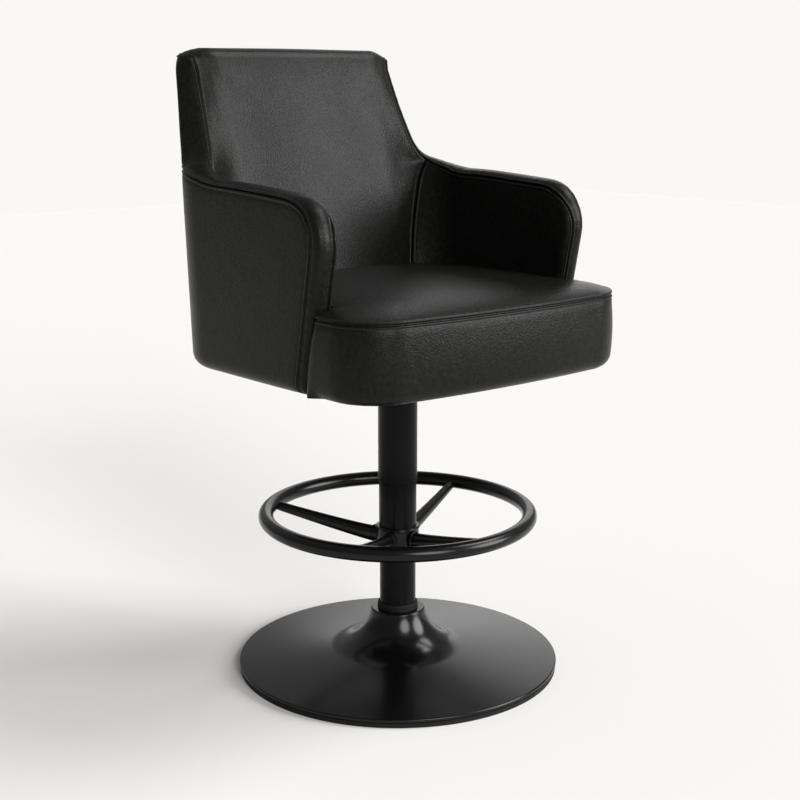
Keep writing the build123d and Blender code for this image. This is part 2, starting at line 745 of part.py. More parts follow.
def main():
    os.makedirs("parts", exist_ok=True)
    nodes = {
        "base_cover": base_cover(), "floor_ring": floor_ring(), "base_plate": base_plate(),
        "column_flange": column_flange(), "flange_bolts": flange_bolts(), "base_grommet": base_grommet(),
        "column_post": column_post(), "lower_sleeve": lower_sleeve(), "upper_sleeve": upper_sleeve(),
        "upper_bearing_block": upper_bearing_block(), "lower_bearing_block": lower_bearing_block(),
        "upper_bushing": bushing(upper_block_bottom, block_top),
        "lower_bushing": bushing(lower_block_height, lower_block_height + lower_block_length),
        "thrust_bearing": thrust_bearing(), "spindle_washer": spindle_washer(),
        "swivel_spindle": swivel_spindle(), "spindle_circlip": spindle_circlip(),
        "footrest_ring": footrest_ring(), "footrest_hub": footrest_hub(),
        "footrest_spokes": footrest_spokes(), "hub_set_screws": hub_set_screws(),
        "mounting_plate": mounting_plate(), "mounting_bolts": mounting_bolts(), "tee_nuts": tee_nuts(),
    }
    nodes.update(tub_pieces())
    nodes["seat_board"] = seat_board()
    nodes["seat_cushion"] = seat_cushion(board_form(-skin_gap, board_bottom - overrun, board_top))
    nodes["dust_cover"] = dust_cover()
    nodes["frame_screws"] = frame_screws()
    for name, shape in nodes.items():
        export_step(shape, "parts/" + name + ".step")


main()
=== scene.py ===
# %% [markdown]
# # Gaming stool: the looks
# An upholstered tub that swivels on a round column, with a ring for the feet and a spun trumpet base. The
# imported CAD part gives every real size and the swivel. It could be modelled again from nothing, but then
# the two would drift apart, so this file loads that frame and dresses it. Everything is in metres, +Z is
# up, and the sitter faces -Y.

# %% Load the frame
from math import acos, cos, hypot, pi, radians, sin, sqrt, tan

import bpy
import numpy as np
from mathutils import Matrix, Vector


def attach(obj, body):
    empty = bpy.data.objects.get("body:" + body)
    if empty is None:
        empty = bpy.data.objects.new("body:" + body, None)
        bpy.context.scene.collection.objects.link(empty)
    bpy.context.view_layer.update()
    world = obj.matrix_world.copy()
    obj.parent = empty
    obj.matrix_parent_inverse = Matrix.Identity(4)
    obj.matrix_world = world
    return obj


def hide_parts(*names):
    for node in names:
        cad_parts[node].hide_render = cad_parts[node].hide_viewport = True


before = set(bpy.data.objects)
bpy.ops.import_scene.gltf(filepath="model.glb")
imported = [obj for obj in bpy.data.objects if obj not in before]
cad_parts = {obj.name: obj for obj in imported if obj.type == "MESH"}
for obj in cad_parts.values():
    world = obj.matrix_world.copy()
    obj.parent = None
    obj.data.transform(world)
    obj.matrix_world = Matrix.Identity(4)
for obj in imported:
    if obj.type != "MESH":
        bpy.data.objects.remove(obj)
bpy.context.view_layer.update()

# %% [markdown]
# ## Camera
# The photograph was taken from the front left with a slightly long lens. A camera could be placed by eye,
# but circles tell more: the outlines of the base and the footrest, which are round in reality, fix the
# lens, the height and the tilt. The camera stands 2.18 m from the column, a little below the top of the
# back, and looks down by about twelve degrees.

# %% Camera
CAMERA_PLACE = (-1.3972, -1.6708, 0.911)
CAMERA_TURN = (radians(77.55), 0, radians(-40))
bpy.ops.object.camera_add(location=CAMERA_PLACE, rotation=CAMERA_TURN)
camera = bpy.context.object
camera.data.lens = 64.638
camera.data.sensor_width = 36
camera.data.clip_end = 60
bpy.context.scene.camera = camera
bpy.context.scene.view_settings.view_transform = "Standard"
print("camera lens", camera.data.lens)

# %% [markdown]
# ## Materials
# Paint, leather and rubber differ in how rough and how even they are. Pictures of surfaces could serve as
# textures, but nodes need no files and never repeat, so each finish is a small node tree. Its patterns
# are measured in metres on the piece itself, so that a pebble of the leather is about two millimetres
# wide wherever it lies. These helpers keep the trees short.

# %% Node helpers
def new_material(name, color, roughness, metallic=0.0):
    """A material with its shader, and the tree to add patterns to."""
    material = bpy.data.materials.new(name)
    material.use_nodes = True
    tree = material.node_tree
    shader = tree.nodes["Principled BSDF"]
    shader.inputs["Base Color"].default_value = (*color, 1)
    shader.inputs["Roughness"].default_value = roughness
    shader.inputs["Metallic"].default_value = metallic
    return material, tree, shader


def coordinates(tree, scale=(1, 1, 1)):
    """Object coordinates, stretched by scale."""
    coord = tree.nodes.new("ShaderNodeTexCoord")
    mapping = tree.nodes.new("ShaderNodeMapping")
    mapping.inputs["Scale"].default_value = scale
    tree.links.new(coord.outputs["Object"], mapping.inputs["Vector"])
    return mapping.outputs["Vector"]


def noise(tree, vector, scale, detail=4.0, rough=0.5):
    """Soft noise of about 1/scale metres."""
    node = tree.nodes.new("ShaderNodeTexNoise")
    node.inputs["Scale"].default_value = scale
    node.inputs["Detail"].default_value = detail
    node.inputs["Roughness"].default_value = rough
    tree.links.new(vector, node.inputs["Vector"])
    return node.outputs["Fac"]


def voronoi(tree, vector, scale, feature):
    """A node with cells about 1/scale metres wide."""
    node = tree.nodes.new("ShaderNodeTexVoronoi")
    node.feature = feature
    node.inputs["Scale"].default_value = scale
    tree.links.new(vector, node.inputs["Vector"])
    return node


def ramp(tree, value, low, high, start=0.0, end=1.0):
    """Maps value from start..end to low..high, which are numbers or colours."""
    if isinstance(low, (int, float)):
        node = tree.nodes.new("ShaderNodeMapRange")
        for key, number in zip(("From Min", "From Max", "To Min", "To Max"), (start, end, low, high)):
            node.inputs[key].default_value = number
        tree.links.new(value, node.inputs["Value"])
        return node.outputs["Result"]
    node = tree.nodes.new("ShaderNodeValToRGB")
    node.color_ramp.elements[0].position, node.color_ramp.elements[1].position = start, end
    node.color_ramp.elements[0].color, node.color_ramp.elements[1].color = (*low, 1), (*high, 1)
    tree.links.new(value, node.inputs["Fac"])
    return node.outputs["Color"]


def bump(tree, height, distance, strength=1.0, under=None):
    """A bump of that height in metres, on top of another one."""
    node = tree.nodes.new("ShaderNodeBump")
    node.inputs["Distance"].default_value = distance
    node.inputs["Strength"].default_value = strength
    tree.links.new(height, node.inputs["Height"])
    if under is not None:
        tree.links.new(under, node.inputs["Normal"])
    return node.outputs["Normal"]


print("node helpers ready")

# %% [markdown]
# The covers are a fine-pebbled black leather with a soft sheen. The pebbles are far too small to model,
# so bump carries them. Two sizes of cells make pebbles and creases, and slow noise makes the skin uneven
# and changes its gloss from place to place, as handling does. The bump stays low, because the highlights
# in the photograph are broad and smooth.

# %% Leather
def leather(name):
    """Black pebbled leather."""
    material, tree, shader = new_material(name, (0.010, 0.010, 0.011), 0.42)
    vector = coordinates(tree)
    cells = voronoi(tree, vector, 440, "SMOOTH_F1")
    cells.inputs["Smoothness"].default_value = 0.35
    folds = voronoi(tree, vector, 170, "DISTANCE_TO_EDGE")
    slow = noise(tree, vector, 22, 3.0)
    fine = noise(tree, vector, 160, 3.0)
    pebble = bump(tree, ramp(tree, cells.outputs["Distance"], 1.0, 0.0, 0.0, 0.7), 0.00027, 0.6)
    crease = bump(tree, ramp(tree, folds.outputs["Distance"], 0.0, 1.0, 0.0, 0.12), 0.00018, 0.5, pebble)
    soft = bump(tree, slow, 0.0006, 0.5, bump(tree, fine, 0.0003, 0.5, crease))
    tree.links.new(soft, shader.inputs["Normal"])
    shader.inputs["Specular IOR Level"].default_value = 0.11
    tree.links.new(ramp(tree, slow, 0.30, 0.345, 0.3, 0.7), shader.inputs["Roughness"])
    tree.links.new(ramp(tree, fine, (0.0035, 0.0036, 0.0032), (0.0085, 0.0086, 0.0078), 0.3, 0.75),
                   shader.inputs["Base Color"])
    return material


LEATHER = leather("black_leather")
print("leather ready")

# %% [markdown]
# The base and the footrest are sprayed gloss black and the column satin black. One even roughness would
# look like plastic, so slow noise varies the gloss a little, and a very fine bump gives the orange peel
# of spray paint. Rubber, steel, bronze, plywood and the woven dust cover finish the pieces that mostly
# hide. Each gets the one mark by which it is known: a grain, tool marks, plies or a weave.

# %% Hard finishes
def paint(name, color, rough_low, rough_high, orange_peel, shine=0.22):
    """Sprayed paint: slow gloss changes and a faint orange peel."""
    material, tree, shader = new_material(name, color, rough_low)
    vector = coordinates(tree)
    tree.links.new(ramp(tree, noise(tree, vector, 40, 5.0), rough_low, rough_high, 0.35, 0.7),
                   shader.inputs["Roughness"])
    shader.inputs["Specular IOR Level"].default_value = shine
    tree.links.new(bump(tree, noise(tree, vector, 700, 2.0), orange_peel, 0.5), shader.inputs["Normal"])
    return material


def steel(name, color, roughness):
    """Metal with fine tool marks."""
    material, tree, shader = new_material(name, color, roughness, 1.0)
    marks = noise(tree, coordinates(tree, (60, 60, 900)), 1.0, 6.0)
    tree.links.new(ramp(tree, marks, roughness * 0.75, roughness * 1.3), shader.inputs["Roughness"])
    tree.links.new(bump(tree, marks, 0.00003, 0.4), shader.inputs["Normal"])
    return material


def plywood(name):
    """Birch ply: plies across Z and grain along X."""
    material, tree, shader = new_material(name, (0.55, 0.38, 0.22), 0.6)
    grain = noise(tree, coordinates(tree, (4, 70, 900)), 1.0, 6.0, 0.6)
    tree.links.new(ramp(tree, grain, (0.34, 0.21, 0.11), (0.66, 0.49, 0.30), 0.25, 0.75),
                   shader.inputs["Base Color"])
    tree.links.new(bump(tree, grain, 0.0002, 0.4), shader.inputs["Normal"])
    return material


def dust_fabric(name):
    """Black woven sheet."""
    material, tree, shader = new_material(name, (0.012, 0.012, 0.013), 0.85)
    weave = tree.nodes.new("ShaderNodeTexChecker")
    weave.inputs["Scale"].default_value = 900
    tree.links.new(coordinates(tree), weave.inputs["Vector"])
    tree.links.new(bump(tree, weave.outputs["Fac"], 0.0002, 0.6), shader.inputs["Normal"])
    return material


def rubber(name):
    """Matt moulded rubber with a fine grain."""
    material, tree, shader = new_material(name, (0.005, 0.005, 0.005), 0.68)
    shader.inputs["Specular IOR Level"].default_value = 0.2
    vector = coordinates(tree)
    tree.links.new(bump(tree, noise(tree, vector, 1500, 3.0), 0.00008, 0.6), shader.inputs["Normal"])
    tree.links.new(ramp(tree, noise(tree, vector, 90, 4.0), 0.58, 0.78), shader.inputs["Roughness"])
    return material


BASE_BLACK = paint("base_black", (0.002, 0.002, 0.002), 0.19, 0.22, 0.000001, 0.27)
COLUMN_BLACK = paint("column_black", (0.002, 0.002, 0.002), 0.26, 0.30, 0.000003, 0.10)
FOOTREST_BLACK = paint("footrest_black", (0.003, 0.003, 0.003), 0.20, 0.25, 0.000003)
RUBBER = rubber("rubber")
PLAIN_STEEL = steel("plain_steel", (0.32, 0.32, 0.33), 0.42)
ZINC_STEEL = steel("zinc_steel", (0.62, 0.62, 0.60), 0.30)
BRONZE = steel("bronze", (0.55, 0.36, 0.18), 0.35)
PLYWOOD = plywood("plywood")
DUST_FABRIC = dust_fabric("dust_fabric")
THREAD, thread_tree, thread_shader = new_material("thread", (0.014, 0.014, 0.015), 0.55)
twist = noise(thread_tree, coordinates(thread_tree), 2500, 2.0)
thread_tree.links.new(bump(thread_tree, twist, 0.0001, 0.5), thread_shader.inputs["Normal"])
print("materials", len(bpy.data.materials))

# %% [markdown]
# Every CAD node takes a finish, so that nothing plain shows where two covers part. The nodes of the
# column, the rubber parts and those that hide inside also keep their own shape. The others are replaced
# further down, by pieces with more form.

# %% Finishes of the CAD nodes
def finish(name, material):
    """Puts one material on every slot of a CAD node."""
    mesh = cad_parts[name].data
    mesh.materials.clear()
    mesh.materials.append(material)


CAD_FINISHES = {
    "base_plate": PLAIN_STEEL, "column_flange": PLAIN_STEEL, "flange_bolts": ZINC_STEEL,
    "upper_bearing_block": PLAIN_STEEL, "lower_bearing_block": PLAIN_STEEL, "upper_bushing": BRONZE,
    "lower_bushing": BRONZE, "thrust_bearing": ZINC_STEEL, "spindle_washer": ZINC_STEEL,
    "swivel_spindle": PLAIN_STEEL, "spindle_circlip": PLAIN_STEEL, "mounting_bolts": ZINC_STEEL,
    "tee_nuts": ZINC_STEEL, "seat_board": PLYWOOD, "dust_cover": DUST_FABRIC, "shell_frame": PLYWOOD,
    "frame_screws": ZINC_STEEL, "base_cover": BASE_BLACK, "floor_ring": RUBBER, "base_grommet": RUBBER,
    "column_post": COLUMN_BLACK, "lower_sleeve": COLUMN_BLACK, "upper_sleeve": COLUMN_BLACK,
    "footrest_hub": FOOTREST_BLACK, "footrest_spokes": FOOTREST_BLACK, "footrest_ring": FOOTREST_BLACK,
    "hub_set_screws": FOOTREST_BLACK, "mounting_plate": COLUMN_BLACK,
    "outer_panel": LEATHER, "upper_rear_panel": LEATHER, "edge_band_left": LEATHER,
    "edge_band_right": LEATHER, "arm_pad_left": LEATHER, "arm_pad_right": LEATHER, "back_pad": LEATHER,
    "seat_cushion": LEATHER,
}
for node_name, node_material in CAD_FINISHES.items():
    finish(node_name, node_material)
print("finished CAD nodes", len(CAD_FINISHES), "of", len(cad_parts))

# %% [markdown]
# ## The tub's two faces
# The tub is a box without a front. Its covers could be sculpted, but real ones are cut flat and pulled
# over a frame, which makes their seams run true, and the same is done here. The outside and the inside
# are each a plan line (straight arms, round corners, a long rear) that changes slowly with height. A
# cover is drawn flat, as its pattern would be cut: along the plan line from the middle of the rear, and
# up the height. The functions below wrap the flat pattern onto the face, on the right half; the left half
# is its mirror image.

# %% Plan lines
OUT_HALF, OUT_CORNER = 0.2585, 0.100
IN_HALF = 0.222
HEM_TOP, HEM_RADIUS = 0.508, 0.020
LEVELS, OUT_REAR = (0.488, 0.785, 0.961), (0.244, 0.262, 0.305)
IN_LEVELS = (0.483, 0.785, 0.966)
IN_REAR, IN_CORNER, IN_CROWN = (np.polyfit(IN_LEVELS, sizes, 2) for sizes in (
    (0.1437, 0.222, 0.2703), (0.0494, 0.084, 0.0552), (0.003, 0.007, 0.0025)))
OUT_BOW = 0.0025


def out_rear(z):
    """Rear of the outside at a height."""
    return np.interp(z, LEVELS, OUT_REAR)


def plan(a, half, rear, corner, bow):
    """Place and outward normal on a plan line, a metres from the middle of the rear."""
    flat = half - corner
    turn = np.clip((a - flat) / corner, 0, pi / 2)
    along = np.clip(a, 0, flat) / flat
    x = np.where(a < flat, a, flat + corner * np.sin(turn))
    y = rear - corner * (1 - np.cos(turn)) + np.where(a < flat, bow * 0.5 * (1 + np.cos(pi * along)), 0)
    y = y - np.maximum(a - flat - corner * pi / 2, 0)
    return x, y, np.sin(turn), np.cos(turn)


def hem_height(v):
    """Height of a pattern place, rolled in under the hem."""
    turn = np.clip((HEM_TOP - v) / HEM_RADIUS, 0, pi / 2)
    return np.where(v < HEM_TOP, HEM_TOP - HEM_RADIUS * np.sin(turn), v)


def outside(a, v):
    """The tub's outside: a along the plan, v up the height, rolled in under the hem."""
    a, v = np.asarray(a, float), np.asarray(v, float)
    turn = np.clip((HEM_TOP - v) / HEM_RADIUS, 0, pi / 2)
    inset = HEM_RADIUS * (1 - np.cos(turn)) + np.maximum(HEM_TOP - HEM_RADIUS * pi / 2 - v, 0)
    z = hem_height(v)
    x, y, nx, ny = plan(a, OUT_HALF, out_rear(z), OUT_CORNER, OUT_BOW)
    return np.stack([x - nx * inset, y - ny * inset, z + 0 * x], -1)


def inside(b, z, lift=0.0):
    """The tub's inside, with lift towards the sitter."""
    b, z = np.asarray(b, float), np.asarray(z, float)
    corner = np.polyval(IN_CORNER, z)
    x, y, nx, ny = plan(b, IN_HALF, np.polyval(IN_REAR, z), corner, 0)
    crown = np.polyval(IN_CROWN, z) * np.cos(np.clip(b / (IN_HALF - corner), 0, 1) * pi / 2) ** 2
    return np.stack([x - nx * lift, y - crown - ny * lift, z + 0 * x], -1)


def arm_a(y, z):
    """Pattern place on the outside of the arm at a depth."""
    return OUT_HALF - OUT_CORNER + OUT_CORNER * pi / 2 + out_rear(z) - OUT_CORNER - y


def arm_b(y, z):
    """Pattern place on the inside of the arm at a depth."""
    corner = np.polyval(IN_CORNER, z)
    return IN_HALF - corner + corner * pi / 2 + np.polyval(IN_REAR, z) - corner - y


print("outside rear corner", outside(0.25, 0.6), "inside rear corner", inside(0.2, 0.6))

# %% [markdown]
# Seams and edges are smooth lines through a few places that were measured in the photograph. Blender's
# curves could draw them, but the panels need them as numbers, so short functions work them out. `chain`
# gives places along a line at chosen distances, `evenly` at equal ones, `spline` draws a smooth line
# through points, and `rounded` puts true arcs at corners.

# %% Smooth lines
def lengths(points):
    """Distance along a line at each of its points."""
    return np.concatenate([[0], np.cumsum(np.linalg.norm(np.diff(points, axis=0), axis=1))])


def chain(points, places):
    """Places at the given distances along a line."""
    points = np.asarray(points, float)
    along = lengths(points)
    return np.stack([np.interp(places, along, points[:, i]) for i in range(points.shape[1])], -1)


def evenly(points, count):
    """That many places at equal distances along a line."""
    return chain(points, np.linspace(0, lengths(points)[-1], count))


def spline(points, step=0.002, soften=8):
    """A smooth line through points, with a place every step, softened that many times."""
    points = np.asarray(points, float)
    before, after = 2 * points[0] - points[1], 2 * points[-1] - points[-2]
    full = np.vstack([before, points, after])
    t = np.linspace(0, 1, 24, endpoint=False)[:, None]
    parts = []
    for p0, p1, p2, p3 in zip(full, full[1:], full[2:], full[3:]):
        parts.append(0.5 * (2 * p1 + (p2 - p0) * t + (2 * p0 - 5 * p1 + 4 * p2 - p3) * t ** 2
                            + (3 * p1 - p0 - 3 * p2 + p3) * t ** 3))
    line = np.vstack(parts + [points[-1:]])
    line = evenly(line, int(lengths(line)[-1] / step) + 2)
    for _ in range(soften):
        line[1:-1] = 0.25 * line[:-2] + 0.5 * line[1:-1] + 0.25 * line[2:]
    return line


def rounded(corners, steps=6):
    """A line through corners (x, y, radius), with each corner rounded."""
    out = [np.array(corners[0][:2])]
    for before, here, after in zip(corners, corners[1:], corners[2:]):
        p, q, r = (np.array(c[:2], float) for c in (before, here, after))
        u, w = (p - q) / np.linalg.norm(p - q), (r - q) / np.linalg.norm(r - q)
        half = acos(max(-1, min(1, float(u @ w)))) / 2
        if here[2] <= 0 or half > pi / 2 - 1e-4:
            out.append(q)
            continue
        centre = q + (u + w) / np.linalg.norm(u + w) * here[2] / sin(half)
        start = q + u * here[2] / tan(half) - centre
        end = q + w * here[2] / tan(half) - centre
        sweep = pi - 2 * half
        for i in range(steps + 1):
            s = i / steps
            out.append(centre + (start * sin((1 - s) * sweep) + end * sin(s * sweep)) / sin(sweep))
    out.append(np.array(corners[-1][:2]))
    return np.array(out)


print("seam sample", spline([(0, 0), (0.1, 0.02), (0.2, 0)])[::40])

# %% [markdown]
# The main seam on the outside starts level round the back, falls at the rear corners, follows the arm a
# finger's breadth under its edge, turns down behind the arm's front and ends under the hem. The crest is
# the line of the upholstered edge: up the leaning arm front, along the arm, up the wing, to the top of
# the back. Each panel could have edges of its own, but all are hung on these two lines, so that
# neighbours can't drift apart.

# %% Main seam and crest
SEAM_ON_ARM = [(0.1615, 0.7738), (0.1204, 0.7667), (0.0458, 0.7634), (-0.0477, 0.7583), (-0.088, 0.7531),
               (-0.113, 0.7397), (-0.1255, 0.7162), (-0.1262, 0.6907), (-0.120, 0.654), (-0.1073, 0.5825),
               (-0.0952, 0.5182), (-0.0895, 0.488), (-0.0862, 0.468)]
REAR_SEAM = 0.7855
SEAM = spline([(0, REAR_SEAM), (0.10, REAR_SEAM), (0.20, REAR_SEAM), (0.240, 0.7854), (0.2728, 0.7823),
               (0.2848, 0.7798), (0.2985, 0.7770)] + [(float(arm_a(y, v)), v) for y, v in SEAM_ON_ARM])
SEAM_YZ = spline(SEAM_ON_ARM)
ARM_FRONT, ARM_TOP, ARM_LEAN = -0.1581, 0.7555, tan(radians(11.3))
ARM_LEVEL, ARM_LOW = 0.7683, 0.468
ARM_MIDDLE = 0.24025
WING_START, WING_FOOT, TIP_LOW, TIP_HEIGHT = 0.1245, 0.04, 0.925, 0.0275
WING_ANGLE, TIP_ANGLE = radians(52.0), radians(20.0)
CUT_X, CUT_Y = 0.788, 0.616


def arm_front(z):
    """Depth of the arm's leaning front at a height."""
    return ARM_FRONT + (ARM_TOP - z) * ARM_LEAN


arm_line = rounded([(arm_front(ARM_LOW), ARM_LOW, 0), (ARM_FRONT, ARM_TOP, 0.065),
                    (0.055, ARM_LEVEL, 0.9), (0.105, ARM_LEVEL, 0)], 14)
arm_line = chain(arm_line, np.arange(0, lengths(arm_line)[-1], 0.004))
wing_line = spline([(WING_START, ARM_LEVEL), (0.1029, 0.7722), (0.0845, 0.7775), (0.0680, 0.7833),
                    (0.0550, 0.790), (0.0450, 0.7985), (0.0370, 0.810), (0.0290, 0.8274), (0.0112, 0.8740),
                    (-0.0070, 0.9313), (-0.0122, 0.9475), (-0.0166, 0.9568)], 0.003, 4)
print("arm stations", len(arm_line), "wing stations", len(wing_line))


def hit(face, z, middle, across):
    """Where a level line through the edge meets one face of the tub."""
    a = np.linspace(0, 0.62, 1240)
    points = face(a, z)
    side = across[0] * (points[:, 1] - middle[1]) - across[1] * (points[:, 0] - middle[0])
    return float(np.interp(0, -side if side[0] > side[-1] else side, a))


def middle_of(d, z):
    """Middle of the tub's wall where the wing's cutting plane has the distance d."""
    a = np.linspace(0, 0.60, 1200)
    corner = (OUT_CORNER + np.polyval(IN_CORNER, z)) / 2
    rear = (out_rear(z) + np.polyval(IN_REAR, z)) / 2
    x, y, _, _ = plan(a, (OUT_HALF + IN_HALF) / 2, rear, corner, 0)
    a = float(np.interp(d, CUT_X * x - CUT_Y * y, a))
    x, y, _, _ = plan(np.array(a), (OUT_HALF + IN_HALF) / 2, rear, corner, 0)
    return np.array([float(x), float(y)])


def stations():
    """Every place along the crest: wall middle, height, direction across the wall, and outward normal."""
    rows = []
    run = np.gradient(arm_line, axis=0)
    for (y, z), (ry, rz) in zip(arm_line, run / np.linalg.norm(run, axis=1)[:, None]):
        rows.append((np.array([ARM_MIDDLE, y]), z, np.array([1.0, 0.0]), np.array([0, -rz, ry])))
    run = np.gradient(wing_line, axis=0)
    run /= np.linalg.norm(run, axis=1)[:, None]
    for (d, z), (rd, rz) in zip(wing_line, run):
        foot = np.clip((WING_START - d) / WING_FOOT, 0, 1)
        tip = np.clip((z - TIP_LOW) / TIP_HEIGHT, 0, 1)
        angle = WING_ANGLE * (3 * foot ** 2 - 2 * foot ** 3) + TIP_ANGLE * tip ** 2
        across = np.array([cos(angle), sin(angle)])
        ahead = np.array([across[1], -across[0]])
        rows.append((middle_of(d, z), z, across, np.array([ahead[0] * rz, ahead[1] * rz, -rd])))
    return rows


STATIONS = stations()
print("stations", len(STATIONS), "last", STATIONS[-1])

# %% [markdown]
# The edge of the tub is capped by one strip, which runs on from the arm to the wing. Arm and wing could
# be two shapes with a joint between them, but one rule for every station keeps the strip whole. A station
# knows where the outer seam or cover line lies on the outside and where the inner seam lies on the
# inside. On the arm's front the inner seam moves round onto the front face, as the photograph shows.

# %% Edge curves
def smooth(t):
    """Eases from 0 to 1."""
    t = np.clip(t, 0, 1)
    return t * t * (3 - 2 * t)


def ray_depth(line, start, direction):
    """Distance from start along direction to a line in the same plane."""
    p, q = line[:-1] - start, line[1:] - start
    side = lambda w: direction[0] * w[:, 1] - direction[1] * w[:, 0]
    cp, cq = side(p), side(q)
    cross = np.where(cp * cq <= 0)[0]
    found = []
    for i in cross:
        t = cp[i] / (cp[i] - cq[i]) if cp[i] != cq[i] else 0
        found.append(float((p[i] + t * (q[i] - p[i])) @ direction))
    found = [f for f in found if abs(f) < 0.06]
    return min(found, key=abs) if found else None


WRAP_R, DROP, FOOT_RISE = 0.009, 0.006, 0.0055
SEAM_DEPTH = 0.0155
EDGE_BAND, TIP_BAND = 0.005, 0.006


def climb(face, a, z, normal):
    """Direction in a face's pattern that points to the crest."""
    step = face(a + 0.001, z) - face(a, z)
    slope = float(step[:2] @ normal[:2]) / 0.001
    return np.array([slope, normal[2]]) / hypot(slope, normal[2])


def edge_curves():
    """At every station, the pattern places of the outer line and the inner seam, and how the crest lies."""
    rows = []
    left_seam = False
    for i, (middle, z, across, normal) in enumerate(STATIONS):
        arm = i < len(arm_line)
        foot = 0.0 if arm else float(smooth((0.080 - wing_line[i - len(arm_line), 0]) / 0.05))
        if arm:
            depth = ray_depth(SEAM_YZ, np.array([middle[1], z]), -normal[1:])
            depth = depth if depth is not None else SEAM_DEPTH
            y_o, v_o = middle[1] - normal[1] * depth, z - normal[2] * depth
            outer = (float(arm_a(y_o, v_o)), float(v_o))
            down = smooth((z - 0.700) / 0.060) if middle[1] < -0.06 else 1.0
            wrap, drop = WRAP_R * (1 - down), DROP * down
            crest_in = (float(arm_b(middle[1], z)), float(z))
            y_i, v_i = middle[1] - normal[1] * drop, z - normal[2] * drop
            inner = (float(arm_b(y_i, v_i)), float(v_i))
        else:
            a = hit(outside, z, middle, across)
            tip = smooth((z - 0.80) / 0.15)
            want = EDGE_BAND + TIP_BAND * tip
            seam_v = float(np.interp(a, SEAM[:, 0], SEAM[:, 1]))
            if not left_seam and z - want > seam_v:
                left_seam = True
            flat = climb(outside, a, z, normal)
            outer = (a - flat[0] * want, z - flat[1] * want) if left_seam else (a, seam_v)
            b = hit(inside, z, middle, across)
            flat = climb(inside, b, z, normal)
            crest_in, wrap = (b, float(z)), 0.0
            sink = DROP - FOOT_RISE * foot
            inner = (b - flat[0] * sink, float(z) - flat[1] * sink)
        rows.append(dict(foot=foot, outer=outer, inner=inner, crest_in=crest_in, wrap=wrap, free=left_seam,
                         crest=(*middle, z), normal=normal))
    return rows


EDGE = edge_curves()
FIRST_FREE = next(i for i, row in enumerate(EDGE) if row["free"])
O_PAT, I_PAT, CREST, NORMALS, WRAP, FOOT, CREST_IN = (
    np.array([row[key] for row in EDGE])
    for key in ("outer", "inner", "crest", "normal", "wrap", "foot", "crest_in"))
print("edge stations", len(EDGE), "seam leaves the edge at", outside(*O_PAT[FIRST_FREE]).round(4))

# %% [markdown]
# ## Sewing the panels
# A sewn seam is a groove between two ridges, with a stitched furrow on each side. Bump can't show that at
# an outline, so seams are shaped in the mesh. A panel is a flat pattern with four sides, filled with a
# grid whose rows crowd together near a seam: the edge is tucked in by three millimetres, a narrow ridge
# stands beside it, and stitches pull the leather down a few millimetres further in. Away from the seams
# the padding swells a little.

# %% Panel grid
SEAM_STEPS = (0, 0.0006, 0.0012, 0.0019, 0.0027, 0.0035, 0.0042, 0.0049, 0.0056, 0.0070, 0.010, 0.015, 0.022)
COARSE_STEPS = (0, 0.005, 0.010)
LIFT_AT = (0, 0.0006, 0.0012, 0.0019, 0.0027, 0.0035, 0.0042, 0.0049, 0.0056, 0.0070, 0.010, 0.022, 0.060)
LIFT = (-0.0032, -0.0022, -0.0010, 0.0001, 0.0008, 0.0008, 0.0002, -0.0006, -0.0004, 0.0001, 0.0005, 0.0009,
        0.0012)
BESIDE_SEAM = SEAM_STEPS[:10]
SIDE_COUNT = 400
PUCKER, PUCKER_AT, PUCKER_WIDTH, PUCKER_PITCH = 0.00016, 0.009, 0.006, 0.0115


def graded(length, start, end, middle):
    """Distances along a column: crowded near both ends, even between them."""
    start, end = np.array(start), np.array(end)
    start = start * min(1, 0.42 * length / max(start[-1], 1e-9))
    end = end * min(1, 0.42 * length / max(end[-1], 1e-9))
    between = np.linspace(start[-1], length - end[-1], middle + 2)[1:-1]
    return np.concatenate([start, between, (length - end)[::-1]])


def filled(u, v, a_side, b_side, left, right, corners):
    """Places at the shares u and v between four sides and their four corners."""
    edges = (1 - v) * a_side + v * b_side + (1 - u) * left + u * right
    return edges - ((1 - u) * (1 - v) * corners[0] + u * (1 - v) * corners[1]
                    + (1 - u) * v * corners[2] + u * v * corners[3])


def patch(a_side, b_side, l_side, r_side, start, end, columns, rows, left=COARSE_STEPS, right=COARSE_STEPS):
    """Fills four pattern lines with a grid; rows run from a_side to b_side, crowded as start and end say."""
    sides = [evenly(np.asarray(s, float), SIDE_COUNT) for s in (a_side, b_side, l_side, r_side)]
    corners = (sides[0][0], sides[0][-1], sides[1][0], sides[1][-1])
    t = np.linspace(0, 1, SIDE_COUNT)
    a_at, b_at, l_at, r_at = (
        lambda q, s=s: np.stack([np.interp(q, t, s[:, 0]), np.interp(q, t, s[:, 1])], -1) for s in sides)

    def place(u, v):
        return filled(u[..., None], v[..., None], a_at(u), b_at(u), l_at(v), r_at(v), corners)

    a_length, b_length = lengths(sides[0])[-1], lengths(sides[1])[-1]
    u_mid = graded(a_length, left, right, columns) / a_length
    table = []
    v_even = np.linspace(0, 1, 60)
    for u in u_mid:
        run = lengths(place(np.full(60, u), v_even))
        table.append(np.interp(graded(run[-1], start, end, rows), run, v_even))
    v = np.array(table)
    u = np.empty_like(v)
    for j in range(v.shape[1]):
        share = float(v[:, j].mean())
        length = (1 - share) * a_length + share * b_length
        u[:, j] = graded(length, left, right, columns) / length
    return place(u, v)


